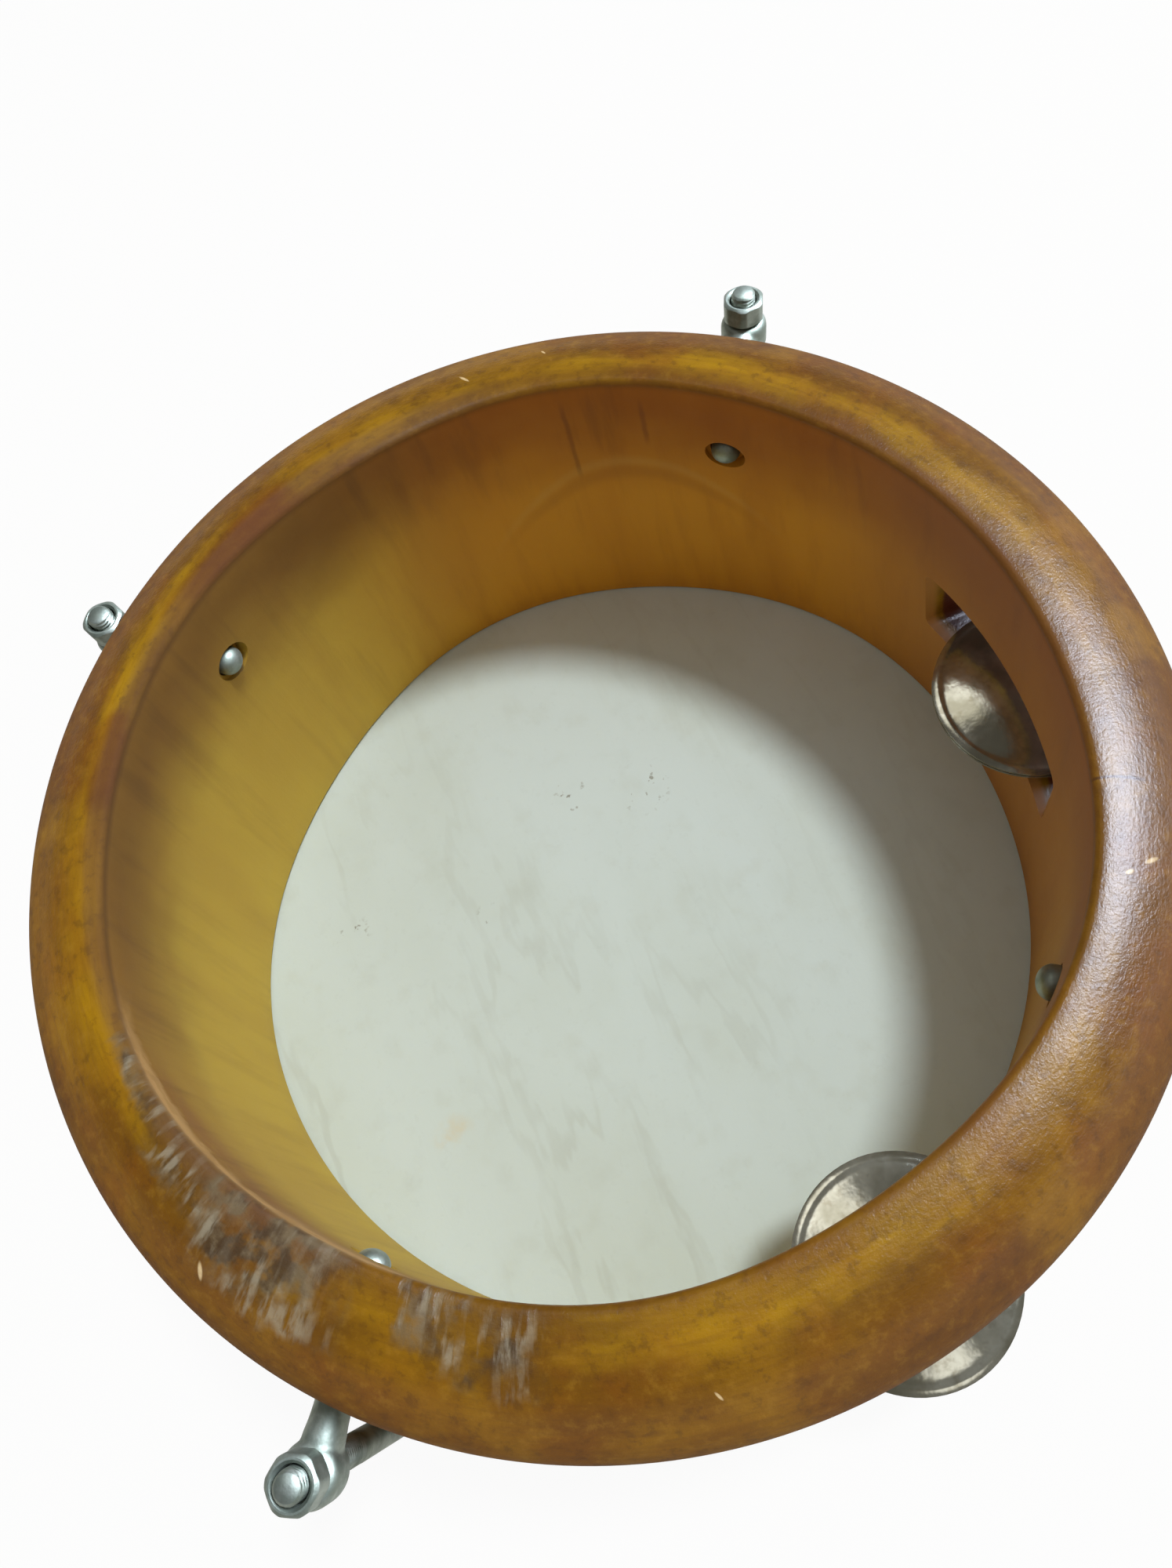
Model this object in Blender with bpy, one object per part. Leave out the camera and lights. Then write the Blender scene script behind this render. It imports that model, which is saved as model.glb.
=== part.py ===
"""Kanjira, a hand frame drum, lying on its head with the open rim up.

A turned wooden shell carries a rawhide head at one end and pairs of jingles in two slots.
The head is lapped round a flesh hoop and drawn up by a counter hoop, four hooks and four nuts.

Origin: centre of the head's outer face, where the drum rests. +Z runs to the open rim. Metres.
"""
import math

import bmesh
import bpy
from mathutils import Matrix, Vector

# Wooden shell
RIM_INNER_RADIUS = 0.0800
RIM_OUTER_RADIUS = 0.1004
HEAD_INNER_RADIUS = 0.0878
HEAD_WALL = 0.0082
SHELL_HEIGHT = 0.0843
RIM_CROWN_DEPTH = 0.0120
RIM_CROWN_RISE = 0.0004
RIM_EDGE_RADIUS = 0.0010
BEARING_EDGE_RADIUS = 0.0030
BEARING_INNER_RADIUS = 0.0008

# Rawhide head and the wire ring that it is lapped round
SKIN_THICKNESS = 0.0009
FLESH_WIRE_RADIUS = 0.0020
LAP_OVERHANG = 0.0018

# Counter hoop, an angle section with its skirt down and its flange inwards
HOOP_WALL = 0.0018
HOOP_SKIRT_HEIGHT = 0.0099
HOOK_FLOOR_CLEARANCE = 0.0018

# Hooks, nuts and eye bolts. Each eye stands off the rim by its own amount and holds its own hook
LUG_ANGLES = tuple(math.radians(a) for a in (49.1, 132.2, 225.4, 315.4))
EYE_STAND_OFFS = (0.0130, 0.0076, 0.0110, 0.0110)
NUT_TURNS = tuple(math.radians(a) for a in (44.0, 12.0, 20.0, 35.0))
ROD_RADIUS = 0.0025
ROD_END_CHAMFER = 0.0006
HOOK_TIP_LENGTH = 0.0055
HOOK_END_ABOVE_NUT = 0.0014
EYE_BELOW_RIM = 0.0204
EYE_BARREL_RADIUS = 0.0048
EYE_BARREL_HEIGHT = 0.0070
EYE_BARREL_ROUNDING = 0.0014
NUT_ACROSS_FLATS = 0.0080
NUT_HEIGHT = 0.0047
NUT_CHAMFER = 0.0008
NUT_CHAMFER_ANGLE = math.radians(30.0)

# The bolts' holes are drilled a few degrees off the radius, with a recess in the inner wall
EYE_BOLT_SKEW = math.radians(8.0)
EYE_SHANK_RADIUS = 0.0030
EYE_SHANK_STAND_OUT = 0.0012
EYE_SHANK_DOME = 0.0012
COUNTERBORE_RADIUS = 0.0042
COUNTERBORE_DEPTH = 0.0015

# Jingle slots, pins and discs
JINGLE_ANGLES = (math.radians(-4.0), math.radians(-79.6))
SLOT_WIDTH = 0.0490
SLOT_HEIGHT = 0.0200
SLOT_BELOW_RIM = 0.0290
SLOT_CORNER_RADIUS = 0.0020
PIN_RADIUS = 0.0013
PIN_ABOVE_SLOT = 0.0100
PIN_ABOVE_BEARING_EDGE = 0.0030
DISC_RADIUS = 0.0188
DISC_THICKNESS = 0.0009
DISC_HOLE_RADIUS = 0.0026
BOSS_RADIUS = 0.0080
BOSS_HEIGHT = 0.0038
DISC_EDGE_DROOP = 0.0003

# Clearances
SEAT_GAP = 0.0003
ROD_CLEARANCE = 0.0003
EYE_HOLE_CLEARANCE = 0.00035
PIN_HOLE_CLEARANCE = 0.0003

# Facets
TURNED_SEGMENTS = 64
DISC_SEGMENTS = 24
SMALL_SEGMENTS = 16
NUT_TRIM_SEGMENTS = 18
ROD_SIDES = 10
BEND_STEPS = 9
CUT_OVERRUN = 0.0100

# Heights and radii that follow from the sizes above
HEAD_OUTER_RADIUS = HEAD_INNER_RADIUS + HEAD_WALL
BEARING_Z = SKIN_THICKNESS + SEAT_GAP
RIM_Z = BEARING_Z + SHELL_HEIGHT
CROWN_BASE_Z = RIM_Z - RIM_CROWN_DEPTH
SHOULDER_TOP_Z = BEARING_Z + BEARING_EDGE_RADIUS
BEARING_FLAT_RADIUS = HEAD_OUTER_RADIUS - BEARING_EDGE_RADIUS
EYE_Z = RIM_Z - EYE_BELOW_RIM
SLOT_TOP_Z = RIM_Z - SLOT_BELOW_RIM
SLOT_FLOOR_Z = SLOT_TOP_Z - SLOT_HEIGHT


def outer_wall_radius(z):
    """Radius of the shell's outer wall, which tapers evenly towards the head."""
    share = (z - SHOULDER_TOP_Z) / (CROWN_BASE_Z - SHOULDER_TOP_Z)
    return HEAD_OUTER_RADIUS + (RIM_OUTER_RADIUS - HEAD_OUTER_RADIUS) * share


def inner_wall_radius(z):
    """Radius of the shell's inner wall, which widens evenly towards the head."""
    share = (RIM_Z - z) / SHELL_HEIGHT
    return RIM_INNER_RADIUS + (HEAD_INNER_RADIUS - RIM_INNER_RADIUS) * share


def middle_of_wall(z):
    """Radius of the middle of the shell's wall."""
    return (inner_wall_radius(z) + outer_wall_radius(z)) / 2


# The jingles' pins follow the middle of the wall from the bearing edge to above the slot
PIN_TOP_Z = SLOT_TOP_Z + PIN_ABOVE_SLOT
PIN_FOOT_RADIUS = middle_of_wall(BEARING_Z)
PIN_LEAN = math.atan2(middle_of_wall(PIN_TOP_Z) - PIN_FOOT_RADIUS, PIN_TOP_Z - BEARING_Z)
PIN_REACH = (PIN_TOP_Z - BEARING_Z) / math.cos(PIN_LEAN)

# The hook's bend wraps the skirt's rounded lower edge, so both share one centre
BEND_RADIUS = HOOP_WALL / 2 + SEAT_GAP + ROD_RADIUS
BEND_Z = HOOK_FLOOR_CLEARANCE + BEND_RADIUS + ROD_RADIUS
FLANGE_Z = BEND_Z + HOOP_SKIRT_HEIGHT - HOOP_WALL / 2
FLESH_Z = FLANGE_Z + HOOP_WALL + SEAT_GAP + FLESH_WIRE_RADIUS
COLLAR_OUTER_RADIUS = outer_wall_radius(FLESH_Z) + SEAT_GAP + SKIN_THICKNESS
FLESH_RING_RADIUS = COLLAR_OUTER_RADIUS + SEAT_GAP + FLESH_WIRE_RADIUS
HOOP_CENTRE_RADIUS = COLLAR_OUTER_RADIUS + SEAT_GAP + ROD_RADIUS + BEND_RADIUS
NUT_BASE_OFFSET = EYE_BARREL_HEIGHT / 2 + SEAT_GAP


def hook_lean(eye_radius):
    """Lean of a hook that is tangent to its bend round the hoop and passes through its eye."""
    out = eye_radius - HOOP_CENTRE_RADIUS
    up = EYE_Z - BEND_Z
    return math.atan2(out, up) - math.asin(BEND_RADIUS / math.hypot(out, up))


def reach_to_wall(eye_radius, wall_radius):
    """Distance along a skewed bolt from its eye's centre in to a wall of the shell."""
    aside = eye_radius * math.sin(EYE_BOLT_SKEW)
    return eye_radius * math.cos(EYE_BOLT_SKEW) - math.sqrt(wall_radius**2 - aside**2)


def material(name, colour, roughness, metallic=0.0):
    """A Principled material with one colour and finish."""
    made = bpy.data.materials.new(name)
    made.use_nodes = True
    shader = made.node_tree.nodes["Principled BSDF"]
    shader.inputs["Base Color"].default_value = (*colour, 1.0)
    shader.inputs["Roughness"].default_value = roughness
    shader.inputs["Metallic"].default_value = metallic
    return made


def arc(centre, radii, start, end, steps):
    """Points along an elliptical arc in the profile plane, with angles in degrees."""
    points = []
    for i in range(steps + 1):
        angle = math.radians(start + (end - start) * i / steps)
        points.append((centre[0] + radii[0] * math.cos(angle), centre[1] + radii[1] * math.sin(angle)))
    return points


def new_object(name, mesh, surface, smooth_angle=35.0):
    """Link a mesh as an object, shaded smooth but for its real edges."""
    made = bpy.data.objects.new(name, mesh)
    bpy.context.scene.collection.objects.link(made)
    if surface:
        mesh.materials.append(surface)
    mesh.shade_smooth()
    mesh.set_sharp_from_angle(angle=math.radians(smooth_angle))
    return made


def turned(name, profile, segments, surface=None):
    """Turn a closed profile of (radius, height) points about Z. Points on the axis share a vertex."""
    built = bmesh.new()
    rings = []
    for radius, height in profile:
        if radius == 0.0:
            rings.append([built.verts.new((0.0, 0.0, height))] * segments)
            continue
        turn = [2 * math.pi * i / segments for i in range(segments)]
        rings.append([built.verts.new((radius * math.cos(a), radius * math.sin(a), height)) for a in turn])
    for ring, following in zip(rings, rings[1:] + rings[:1]):
        for i in range(segments):
            j = (i + 1) % segments
            corners = list(dict.fromkeys((ring[i], ring[j], following[j], following[i])))
            if len(corners) > 2:
                built.faces.new(corners)
    bmesh.ops.recalc_face_normals(built, faces=built.faces)
    mesh = bpy.data.meshes.new(name)
    built.to_mesh(mesh)
    built.free()
    return new_object(name, mesh, surface)


def rod(name, path, surface=None):
    """Sweep a round rod along (x, z) points in the plane y = 0, with chamfered ends."""
    points = [Vector((x, 0.0, z)) for x, z in path]
    from_start = (points[1] - points[0]).normalized() * ROD_END_CHAMFER
    from_end = (points[-2] - points[-1]).normalized() * ROD_END_CHAMFER
    face_radius = ROD_RADIUS - ROD_END_CHAMFER
    stations = [(points[0], face_radius), (points[0] + from_start, ROD_RADIUS)]
    stations += [(point, ROD_RADIUS) for point in points[1:-1]]
    stations += [(points[-1] + from_end, ROD_RADIUS), (points[-1], face_radius)]

    built = bmesh.new()
    across = Vector((0.0, 1.0, 0.0))
    loops = []
    for i, (centre, radius) in enumerate(stations):
        before = stations[max(i - 1, 0)][0]
        after = stations[min(i + 1, len(stations) - 1)][0]
        side = (after - before).normalized().cross(across)
        turn = [2 * math.pi * k / ROD_SIDES for k in range(ROD_SIDES)]
        outwards = [side * math.cos(a) + across * math.sin(a) for a in turn]
        loops.append([built.verts.new(centre + out * radius) for out in outwards])
    for loop, following in zip(loops, loops[1:]):
        for k in range(ROD_SIDES):
            m = (k + 1) % ROD_SIDES
            built.faces.new((loop[k], loop[m], following[m], following[k]))
    built.faces.new(loops[0])
    built.faces.new(loops[-1])
    bmesh.ops.recalc_face_normals(built, faces=built.faces)
    mesh = bpy.data.meshes.new(name)
    built.to_mesh(mesh)
    built.free()
    return new_object(name, mesh, surface)


def as_cutter(made):
    """Hide a shape that only cuts, joins or trims another."""
    made.hide_render = True
    made.display_type = "WIRE"
    return made


def combine(target, other, operation):
    """Apply one exact Boolean of a hidden shape to a piece."""
    step = target.modifiers.new(f"{operation.lower()}_{other.name}", "BOOLEAN")
    step.operation = operation
    step.solver = "EXACT"
    step.object = other


def place(made, angle, radius=0.0, height=0.0, lean=0.0, skew=0.0):
    """Stand a piece at an angle round the drum, with its X outwards and its Z leaning out."""
    turn = Matrix.Rotation(angle, 4, "Z")
    shift = Matrix.Translation((radius, 0.0, height))
    made.matrix_world = turn @ shift @ Matrix.Rotation(skew, 4, "Z") @ Matrix.Rotation(lean, 4, "Y")


def lugs():
    """Number, angle and eye's radius of each lug."""
    radii = [RIM_OUTER_RADIUS + stand_off for stand_off in EYE_STAND_OFFS]
    return list(zip(range(1, len(radii) + 1), LUG_ANGLES, radii))


def make_wood_shell(surface):
    """Turned shell: tapered walls, a rounded crown on the rim and a rounded bearing edge."""
    inner_corner = BEARING_INNER_RADIUS
    crown_centre = (RIM_INNER_RADIUS + RIM_EDGE_RADIUS, CROWN_BASE_Z)
    crown_radii = (RIM_OUTER_RADIUS - crown_centre[0], RIM_CROWN_DEPTH + RIM_CROWN_RISE)
    rim_edge = (crown_centre[0], RIM_Z + RIM_CROWN_RISE - RIM_EDGE_RADIUS)
    edge_radii = (RIM_EDGE_RADIUS, RIM_EDGE_RADIUS)
    shoulder = (BEARING_FLAT_RADIUS, SHOULDER_TOP_Z)
    shoulder_radii = (BEARING_EDGE_RADIUS, BEARING_EDGE_RADIUS)
    foot = (HEAD_INNER_RADIUS + inner_corner, BEARING_Z + inner_corner)
    profile = [
        *arc(foot, (inner_corner, inner_corner), 180, 270, 2),
        *arc(shoulder, shoulder_radii, 270, 360, 4),
        *arc(crown_centre, crown_radii, 0, 90, 9),
        *arc(rim_edge, edge_radii, 90, 180, 2)[1:],
    ]
    shell = turned("wood_shell", profile, TURNED_SEGMENTS, surface)
    for i, angle in enumerate(JINGLE_ANGLES, 1):
        combine(shell, make_slot_cutter(i, angle), "DIFFERENCE")
        combine(shell, make_pin_hole_cutter(i, angle), "DIFFERENCE")
    for number, angle, eye_radius in lugs():
        combine(shell, make_eye_hole_cutter(number, angle, eye_radius), "DIFFERENCE")
    return shell


def make_slot_cutter(number, angle):
    """Box with rounded long edges that cuts one jingle slot square through the wall."""
    built = bmesh.new()
    bmesh.ops.create_cube(built, size=1.0)
    inner = HEAD_INNER_RADIUS - SLOT_WIDTH / 2
    outer = RIM_OUTER_RADIUS + CUT_OVERRUN
    bmesh.ops.scale(built, vec=(outer - inner, SLOT_WIDTH, SLOT_HEIGHT), verts=built.verts)
    through = [e for e in built.edges if abs(e.verts[0].co.x - e.verts[1].co.x) > (outer - inner) / 2]
    bmesh.ops.bevel(built, geom=through, offset=SLOT_CORNER_RADIUS, segments=2, profile=0.5, affect="EDGES")
    mesh = bpy.data.meshes.new(f"slot_cutter_{number}")
    built.to_mesh(mesh)
    built.free()
    cutter = as_cutter(new_object(f"slot_cutter_{number}", mesh, None))
    place(cutter, angle, (inner + outer) / 2, (SLOT_FLOOR_Z + SLOT_TOP_Z) / 2)
    return cutter


def make_pin_hole_cutter(number, angle):
    """Blind hole bored from the bearing edge, across the slot and into the wood above it."""
    radius = PIN_RADIUS + PIN_HOLE_CLEARANCE
    top = PIN_REACH + SEAT_GAP
    profile = [(0.0, -CUT_OVERRUN), (radius, -CUT_OVERRUN), (radius, top), (0.0, top + radius / 2)]
    cutter = as_cutter(turned(f"pin_hole_cutter_{number}", profile, SMALL_SEGMENTS))
    place(cutter, angle, PIN_FOOT_RADIUS, BEARING_Z, PIN_LEAN)
    return cutter


def make_eye_hole_cutter(number, angle, eye_radius):
    """Skewed hole for an eye bolt's shank, with a shallow counterbore in the inner wall."""
    hole = EYE_SHANK_RADIUS + ROD_CLEARANCE
    inner_face = -reach_to_wall(eye_radius, inner_wall_radius(EYE_Z))
    step = inner_face + COUNTERBORE_DEPTH
    profile = [
        (0.0, inner_face - CUT_OVERRUN),
        (COUNTERBORE_RADIUS, inner_face - CUT_OVERRUN),
        (COUNTERBORE_RADIUS, step),
        (hole, step),
        (hole, 0.0),
        (0.0, 0.0),
    ]
    cutter = as_cutter(turned(f"eye_hole_cutter_{number}", profile, SMALL_SEGMENTS))
    place(cutter, angle, eye_radius, EYE_Z, math.pi / 2, EYE_BOLT_SKEW)
    return cutter


def make_drumhead_skin(surface):
    """One sheet of rawhide: flat head, shoulder, collar up the wall and a lap over the ring."""
    outer_turn = BEARING_EDGE_RADIUS + SEAT_GAP + SKIN_THICKNESS
    inner_turn = BEARING_EDGE_RADIUS + SEAT_GAP
    shoulder = (BEARING_FLAT_RADIUS, SHOULDER_TOP_Z)
    lap = (FLESH_RING_RADIUS, FLESH_Z)
    lap_inner = FLESH_WIRE_RADIUS + SEAT_GAP
    lap_outer = lap_inner + SKIN_THICKNESS
    lap_end = FLESH_Z - LAP_OVERHANG
    profile = [
        (0.0, 0.0),
        *arc(shoulder, (outer_turn, outer_turn), 270, 360, 3),
        *arc(lap, (lap_inner, lap_inner), 180, 0, 4),
        (lap[0] + lap_inner, lap_end),
        (lap[0] + lap_outer, lap_end),
        *arc(lap, (lap_outer, lap_outer), 0, 180, 4),
        *arc(shoulder, (inner_turn, inner_turn), 360, 270, 3),
        (0.0, SKIN_THICKNESS),
    ]
    return turned("drumhead_skin", profile, TURNED_SEGMENTS, surface)


def make_flesh_hoop(surface):
    """Round wire ring inside the lap of the skin."""
    wire = (FLESH_WIRE_RADIUS, FLESH_WIRE_RADIUS)
    profile = arc((FLESH_RING_RADIUS, FLESH_Z), wire, 0, 360, 6)[:-1]
    return turned("flesh_hoop", profile, TURNED_SEGMENTS, surface)


def make_counter_hoop(surface):
    """Angle hoop: its flange bears up on the flesh hoop, its rounded skirt hangs in the hooks."""
    half = HOOP_WALL / 2
    skirt_inner = HOOP_CENTRE_RADIUS - half
    skirt_outer = HOOP_CENTRE_RADIUS + half
    flange_inner = outer_wall_radius(FLANGE_Z + HOOP_WALL) + SKIN_THICKNESS + 2 * SEAT_GAP
    profile = [
        (skirt_inner, FLANGE_Z),
        *arc((HOOP_CENTRE_RADIUS, BEND_Z), (half, half), 180, 360, 4),
        *arc((skirt_outer - half, FLANGE_Z + half), (half, half), 0, 90, 2),
        (flange_inner, FLANGE_Z + HOOP_WALL),
        (flange_inner, FLANGE_Z),
    ]
    return turned("counter_hoop", profile, TURNED_SEGMENTS, surface)


def make_tension_hook(number, angle, eye_radius, surface):
    """Hook of round rod: a tip inside the skirt, a bend under its edge and a leaning shank."""
    lean = hook_lean(eye_radius)
    top = EYE_Z + (NUT_BASE_OFFSET + NUT_HEIGHT + HOOK_END_ABOVE_NUT) * math.cos(lean)
    bend = arc((0.0, 0.0), (BEND_RADIUS, BEND_RADIUS), -180, -math.degrees(lean), BEND_STEPS)
    rise = top - BEND_Z - bend[-1][1]
    end = (bend[-1][0] + rise * math.tan(lean), bend[-1][1] + rise)
    path = [(-BEND_RADIUS, HOOK_TIP_LENGTH), *bend, end]
    hook = rod(f"tension_hook_{number}", path, surface)
    place(hook, angle, HOOP_CENTRE_RADIUS, BEND_Z)
    return hook


def make_eye_bolt(number, angle, eye_radius, surface):
    """Eye bolt: a rounded barrel that the hook runs through and a shank through the wall."""
    lean = hook_lean(eye_radius)
    half = EYE_BARREL_HEIGHT / 2
    rounding = (EYE_BARREL_ROUNDING, EYE_BARREL_ROUNDING)
    seat = EYE_BARREL_RADIUS - EYE_BARREL_ROUNDING
    barrel = [
        (0.0, -half),
        *arc((seat, EYE_BARREL_ROUNDING - half), rounding, 270, 360, 3),
        *arc((seat, half - EYE_BARREL_ROUNDING), rounding, 0, 90, 3),
        (0.0, half),
    ]
    eye = turned(f"eye_bolt_{number}", barrel, SMALL_SEGMENTS, surface)
    place(eye, angle, eye_radius, EYE_Z, lean)

    end = -reach_to_wall(eye_radius, inner_wall_radius(EYE_Z)) - EYE_SHANK_STAND_OUT
    shank = [
        (0.0, end),
        *arc((0.0, end + EYE_SHANK_DOME), (EYE_SHANK_RADIUS, EYE_SHANK_DOME), 270, 360, 3)[1:],
        (EYE_SHANK_RADIUS, 0.0),
        (0.0, 0.0),
    ]
    arm = as_cutter(turned(f"eye_shank_{number}", shank, SMALL_SEGMENTS))
    place(arm, angle, eye_radius, EYE_Z, math.pi / 2, EYE_BOLT_SKEW)
    combine(eye, arm, "UNION")

    hole = ROD_RADIUS + EYE_HOLE_CLEARANCE
    bore = [(0.0, -CUT_OVERRUN), (hole, -CUT_OVERRUN), (hole, CUT_OVERRUN), (0.0, CUT_OVERRUN)]
    borer = as_cutter(turned(f"eye_bore_{number}", bore, SMALL_SEGMENTS))
    place(borer, angle, eye_radius, EYE_Z, lean)
    combine(eye, borer, "DIFFERENCE")
    return eye


def make_tension_nut(number, angle, eye_radius, surface):
    """Hexagon nut with chamfered corners, seated on the eye and round the rod."""
    lean = hook_lean(eye_radius)
    base_radius = eye_radius + NUT_BASE_OFFSET * math.sin(lean)
    base_height = EYE_Z + NUT_BASE_OFFSET * math.cos(lean)
    corner = NUT_ACROSS_FLATS / math.sqrt(3)
    blank = [(0.0, 0.0), (corner, 0.0), (corner, NUT_HEIGHT), (0.0, NUT_HEIGHT)]
    nut = turned(f"tension_nut_{number}", blank, 6, surface)
    nut.data.transform(Matrix.Rotation(NUT_TURNS[number - 1], 4, "Z"))
    nut.data.update()
    place(nut, angle, base_radius, base_height, lean)

    rise = 2 * NUT_CHAMFER * math.tan(NUT_CHAMFER_ANGLE)
    narrow = corner - 3 * NUT_CHAMFER
    wide = corner + NUT_CHAMFER
    trim = [
        (0.0, -rise),
        (narrow, -rise),
        (wide, rise),
        (wide, NUT_HEIGHT - rise),
        (narrow, NUT_HEIGHT + rise),
        (0.0, NUT_HEIGHT + rise),
    ]
    trimmer = as_cutter(turned(f"nut_trim_{number}", trim, NUT_TRIM_SEGMENTS))
    place(trimmer, angle, base_radius, base_height, lean)
    combine(nut, trimmer, "INTERSECT")

    hole = ROD_RADIUS + ROD_CLEARANCE
    bore = [(0.0, -CUT_OVERRUN), (hole, -CUT_OVERRUN), (hole, CUT_OVERRUN), (0.0, CUT_OVERRUN)]
    borer = as_cutter(turned(f"nut_bore_{number}", bore, SMALL_SEGMENTS))
    place(borer, angle, base_radius, base_height, lean)
    combine(nut, borer, "DIFFERENCE")
    return nut


def make_jingle_pin(number, angle, surface):
    """Plain pin that crosses a slot, with both ends in the wood."""
    tip = PIN_RADIUS / 2
    profile = [
        (0.0, PIN_ABOVE_BEARING_EDGE),
        (PIN_RADIUS - tip / 2, PIN_ABOVE_BEARING_EDGE),
        (PIN_RADIUS, PIN_ABOVE_BEARING_EDGE + tip / 2),
        (PIN_RADIUS, PIN_REACH - tip),
        (PIN_RADIUS - tip, PIN_REACH),
        (0.0, PIN_REACH),
    ]
    pin = turned(f"jingle_pin_{number}", profile, ROD_SIDES, surface)
    place(pin, angle, PIN_FOOT_RADIUS, BEARING_Z, PIN_LEAN)
    return pin


def make_jingle_disc(name, angle, base_height, face_down, surface):
    """Stamped disc: flat flange with a slightly drooped edge, round boss and loose centre hole."""
    boss_inner = BOSS_RADIUS - DISC_THICKNESS
    rise = BOSS_HEIGHT - DISC_THICKNESS
    top_start = math.degrees(math.acos(DISC_HOLE_RADIUS / BOSS_RADIUS))
    under_start = math.degrees(math.acos(DISC_HOLE_RADIUS / boss_inner))
    scale = 1 / math.sin(math.radians(top_start))
    under_scale = 1 / math.sin(math.radians(under_start))
    flange_mid = (BOSS_RADIUS + DISC_RADIUS) / 2
    profile = [
        *arc((0.0, DISC_THICKNESS), (BOSS_RADIUS, rise * scale), top_start, 0, 3),
        (flange_mid, DISC_THICKNESS),
        (DISC_RADIUS, DISC_THICKNESS - DISC_EDGE_DROOP),
        (DISC_RADIUS, 0.0),
        *arc((0.0, 0.0), (boss_inner, rise * under_scale), 0, under_start, 3),
    ]
    disc = turned(name, profile, DISC_SEGMENTS, surface)
    if face_down:
        disc.data.transform(Matrix.Rotation(math.pi, 4, "X"))
        disc.data.update()
    radius = PIN_FOOT_RADIUS + (base_height - BEARING_Z) * math.tan(PIN_LEAN)
    place(disc, angle, radius, base_height, PIN_LEAN)
    return disc


def parent_keeping_place(child, parent):
    """Parent a piece without moving it."""
    child.parent = parent
    child.matrix_parent_inverse = parent.matrix_world.inverted()


def main():
    for old in list(bpy.data.objects):
        bpy.data.objects.remove(old)

    wood = material("stained_wood", (0.42, 0.20, 0.045), 0.28)
    rawhide = material("rawhide", (0.66, 0.65, 0.58), 0.62)
    steel = material("zinc_plated_steel", (0.46, 0.49, 0.47), 0.36, 1.0)
    wire = material("iron_wire", (0.30, 0.29, 0.28), 0.5, 1.0)
    jingle_metal = material("jingle_alloy", (0.62, 0.60, 0.50), 0.25, 1.0)

    make_wood_shell(wood)
    make_drumhead_skin(rawhide)

    carriage = bpy.data.objects.new("tension_carriage", None)
    bpy.context.scene.collection.objects.link(carriage)
    carriage.location = (0.0, 0.0, FLANGE_Z)
    bpy.context.view_layer.update()
    carried = [make_flesh_hoop(wire), make_counter_hoop(steel)]
    for number, angle, eye_radius in lugs():
        make_eye_bolt(number, angle, eye_radius, steel)
        make_tension_nut(number, angle, eye_radius, steel)
        carried.append(make_tension_hook(number, angle, eye_radius, steel))
    for piece in carried:
        parent_keeping_place(piece, carriage)

    lower_flange_top = SLOT_FLOOR_Z + SEAT_GAP + BOSS_HEIGHT
    upper_flange_foot = lower_flange_top + SEAT_GAP
    for i, angle in enumerate(JINGLE_ANGLES, 1):
        make_jingle_pin(i, angle, steel)
        lower = make_jingle_disc(f"jingle_{i}_lower", angle, lower_flange_top, True, jingle_metal)
        upper = make_jingle_disc(f"jingle_{i}_upper", angle, upper_flange_foot, False, jingle_metal)
        bpy.context.view_layer.update()
        parent_keeping_place(upper, lower)


main()
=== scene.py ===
"""Looks of the kanjira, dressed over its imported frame, as it lies on its head."""
import math

import bmesh
import bpy
from mathutils import Matrix, Vector


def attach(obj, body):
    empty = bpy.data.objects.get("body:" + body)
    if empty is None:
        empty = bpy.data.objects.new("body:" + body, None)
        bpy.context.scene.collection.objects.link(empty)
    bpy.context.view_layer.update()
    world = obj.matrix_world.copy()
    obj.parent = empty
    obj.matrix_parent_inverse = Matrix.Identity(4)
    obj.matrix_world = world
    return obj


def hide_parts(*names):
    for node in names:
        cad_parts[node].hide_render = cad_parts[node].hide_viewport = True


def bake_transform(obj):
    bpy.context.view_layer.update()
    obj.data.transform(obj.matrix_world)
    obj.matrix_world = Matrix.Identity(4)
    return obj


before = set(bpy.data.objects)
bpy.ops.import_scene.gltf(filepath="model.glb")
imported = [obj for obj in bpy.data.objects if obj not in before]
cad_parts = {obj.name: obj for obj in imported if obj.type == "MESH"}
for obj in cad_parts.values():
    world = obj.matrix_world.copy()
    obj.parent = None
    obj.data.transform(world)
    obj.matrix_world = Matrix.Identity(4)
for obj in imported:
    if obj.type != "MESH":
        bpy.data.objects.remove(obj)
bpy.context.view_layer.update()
scene = bpy.context.scene

# Camera, table and light
# The drum lies head down on a white table, seen from above its near edge. One lamp hangs over it
# towards the right. A window and two bright ceiling panels show only as mirrored in it, and a pale
# room fills the rest.
CAMERA_PLACE = (0.0, -0.07856, 0.24734)
CAMERA_TURN = (0.3973, 0.1654, -0.4034)
CAMERA_CLIP = 0.01
FRAME_HEIGHT = 36.0
FOCAL_SHARE = 0.70
LAMP_DIRECTION = Vector((0.345, 0.060, 1.0)).normalized()
LAMP_DISTANCE = 1.5
LAMP_SIZE = (0.21, 0.21)
LAMP_POWER = 15.2
LAMP_COLOUR = (0.97, 1.0, 0.965)
WINDOW_DIRECTION = Vector((0.590, 0.020, 0.807)).normalized()
WINDOW_DISTANCE = 1.3
WINDOW_SIZE = (0.46, 0.54)
WINDOW_POWER = 74.0
WINDOW_COLOUR = (0.72, 0.82, 1.0)
ROOM_STRENGTH = 0.53
ROOM_COLOUR = (1.0, 0.965, 0.90, 1.0)
HORIZON_MIRRORED = 0.58
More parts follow.
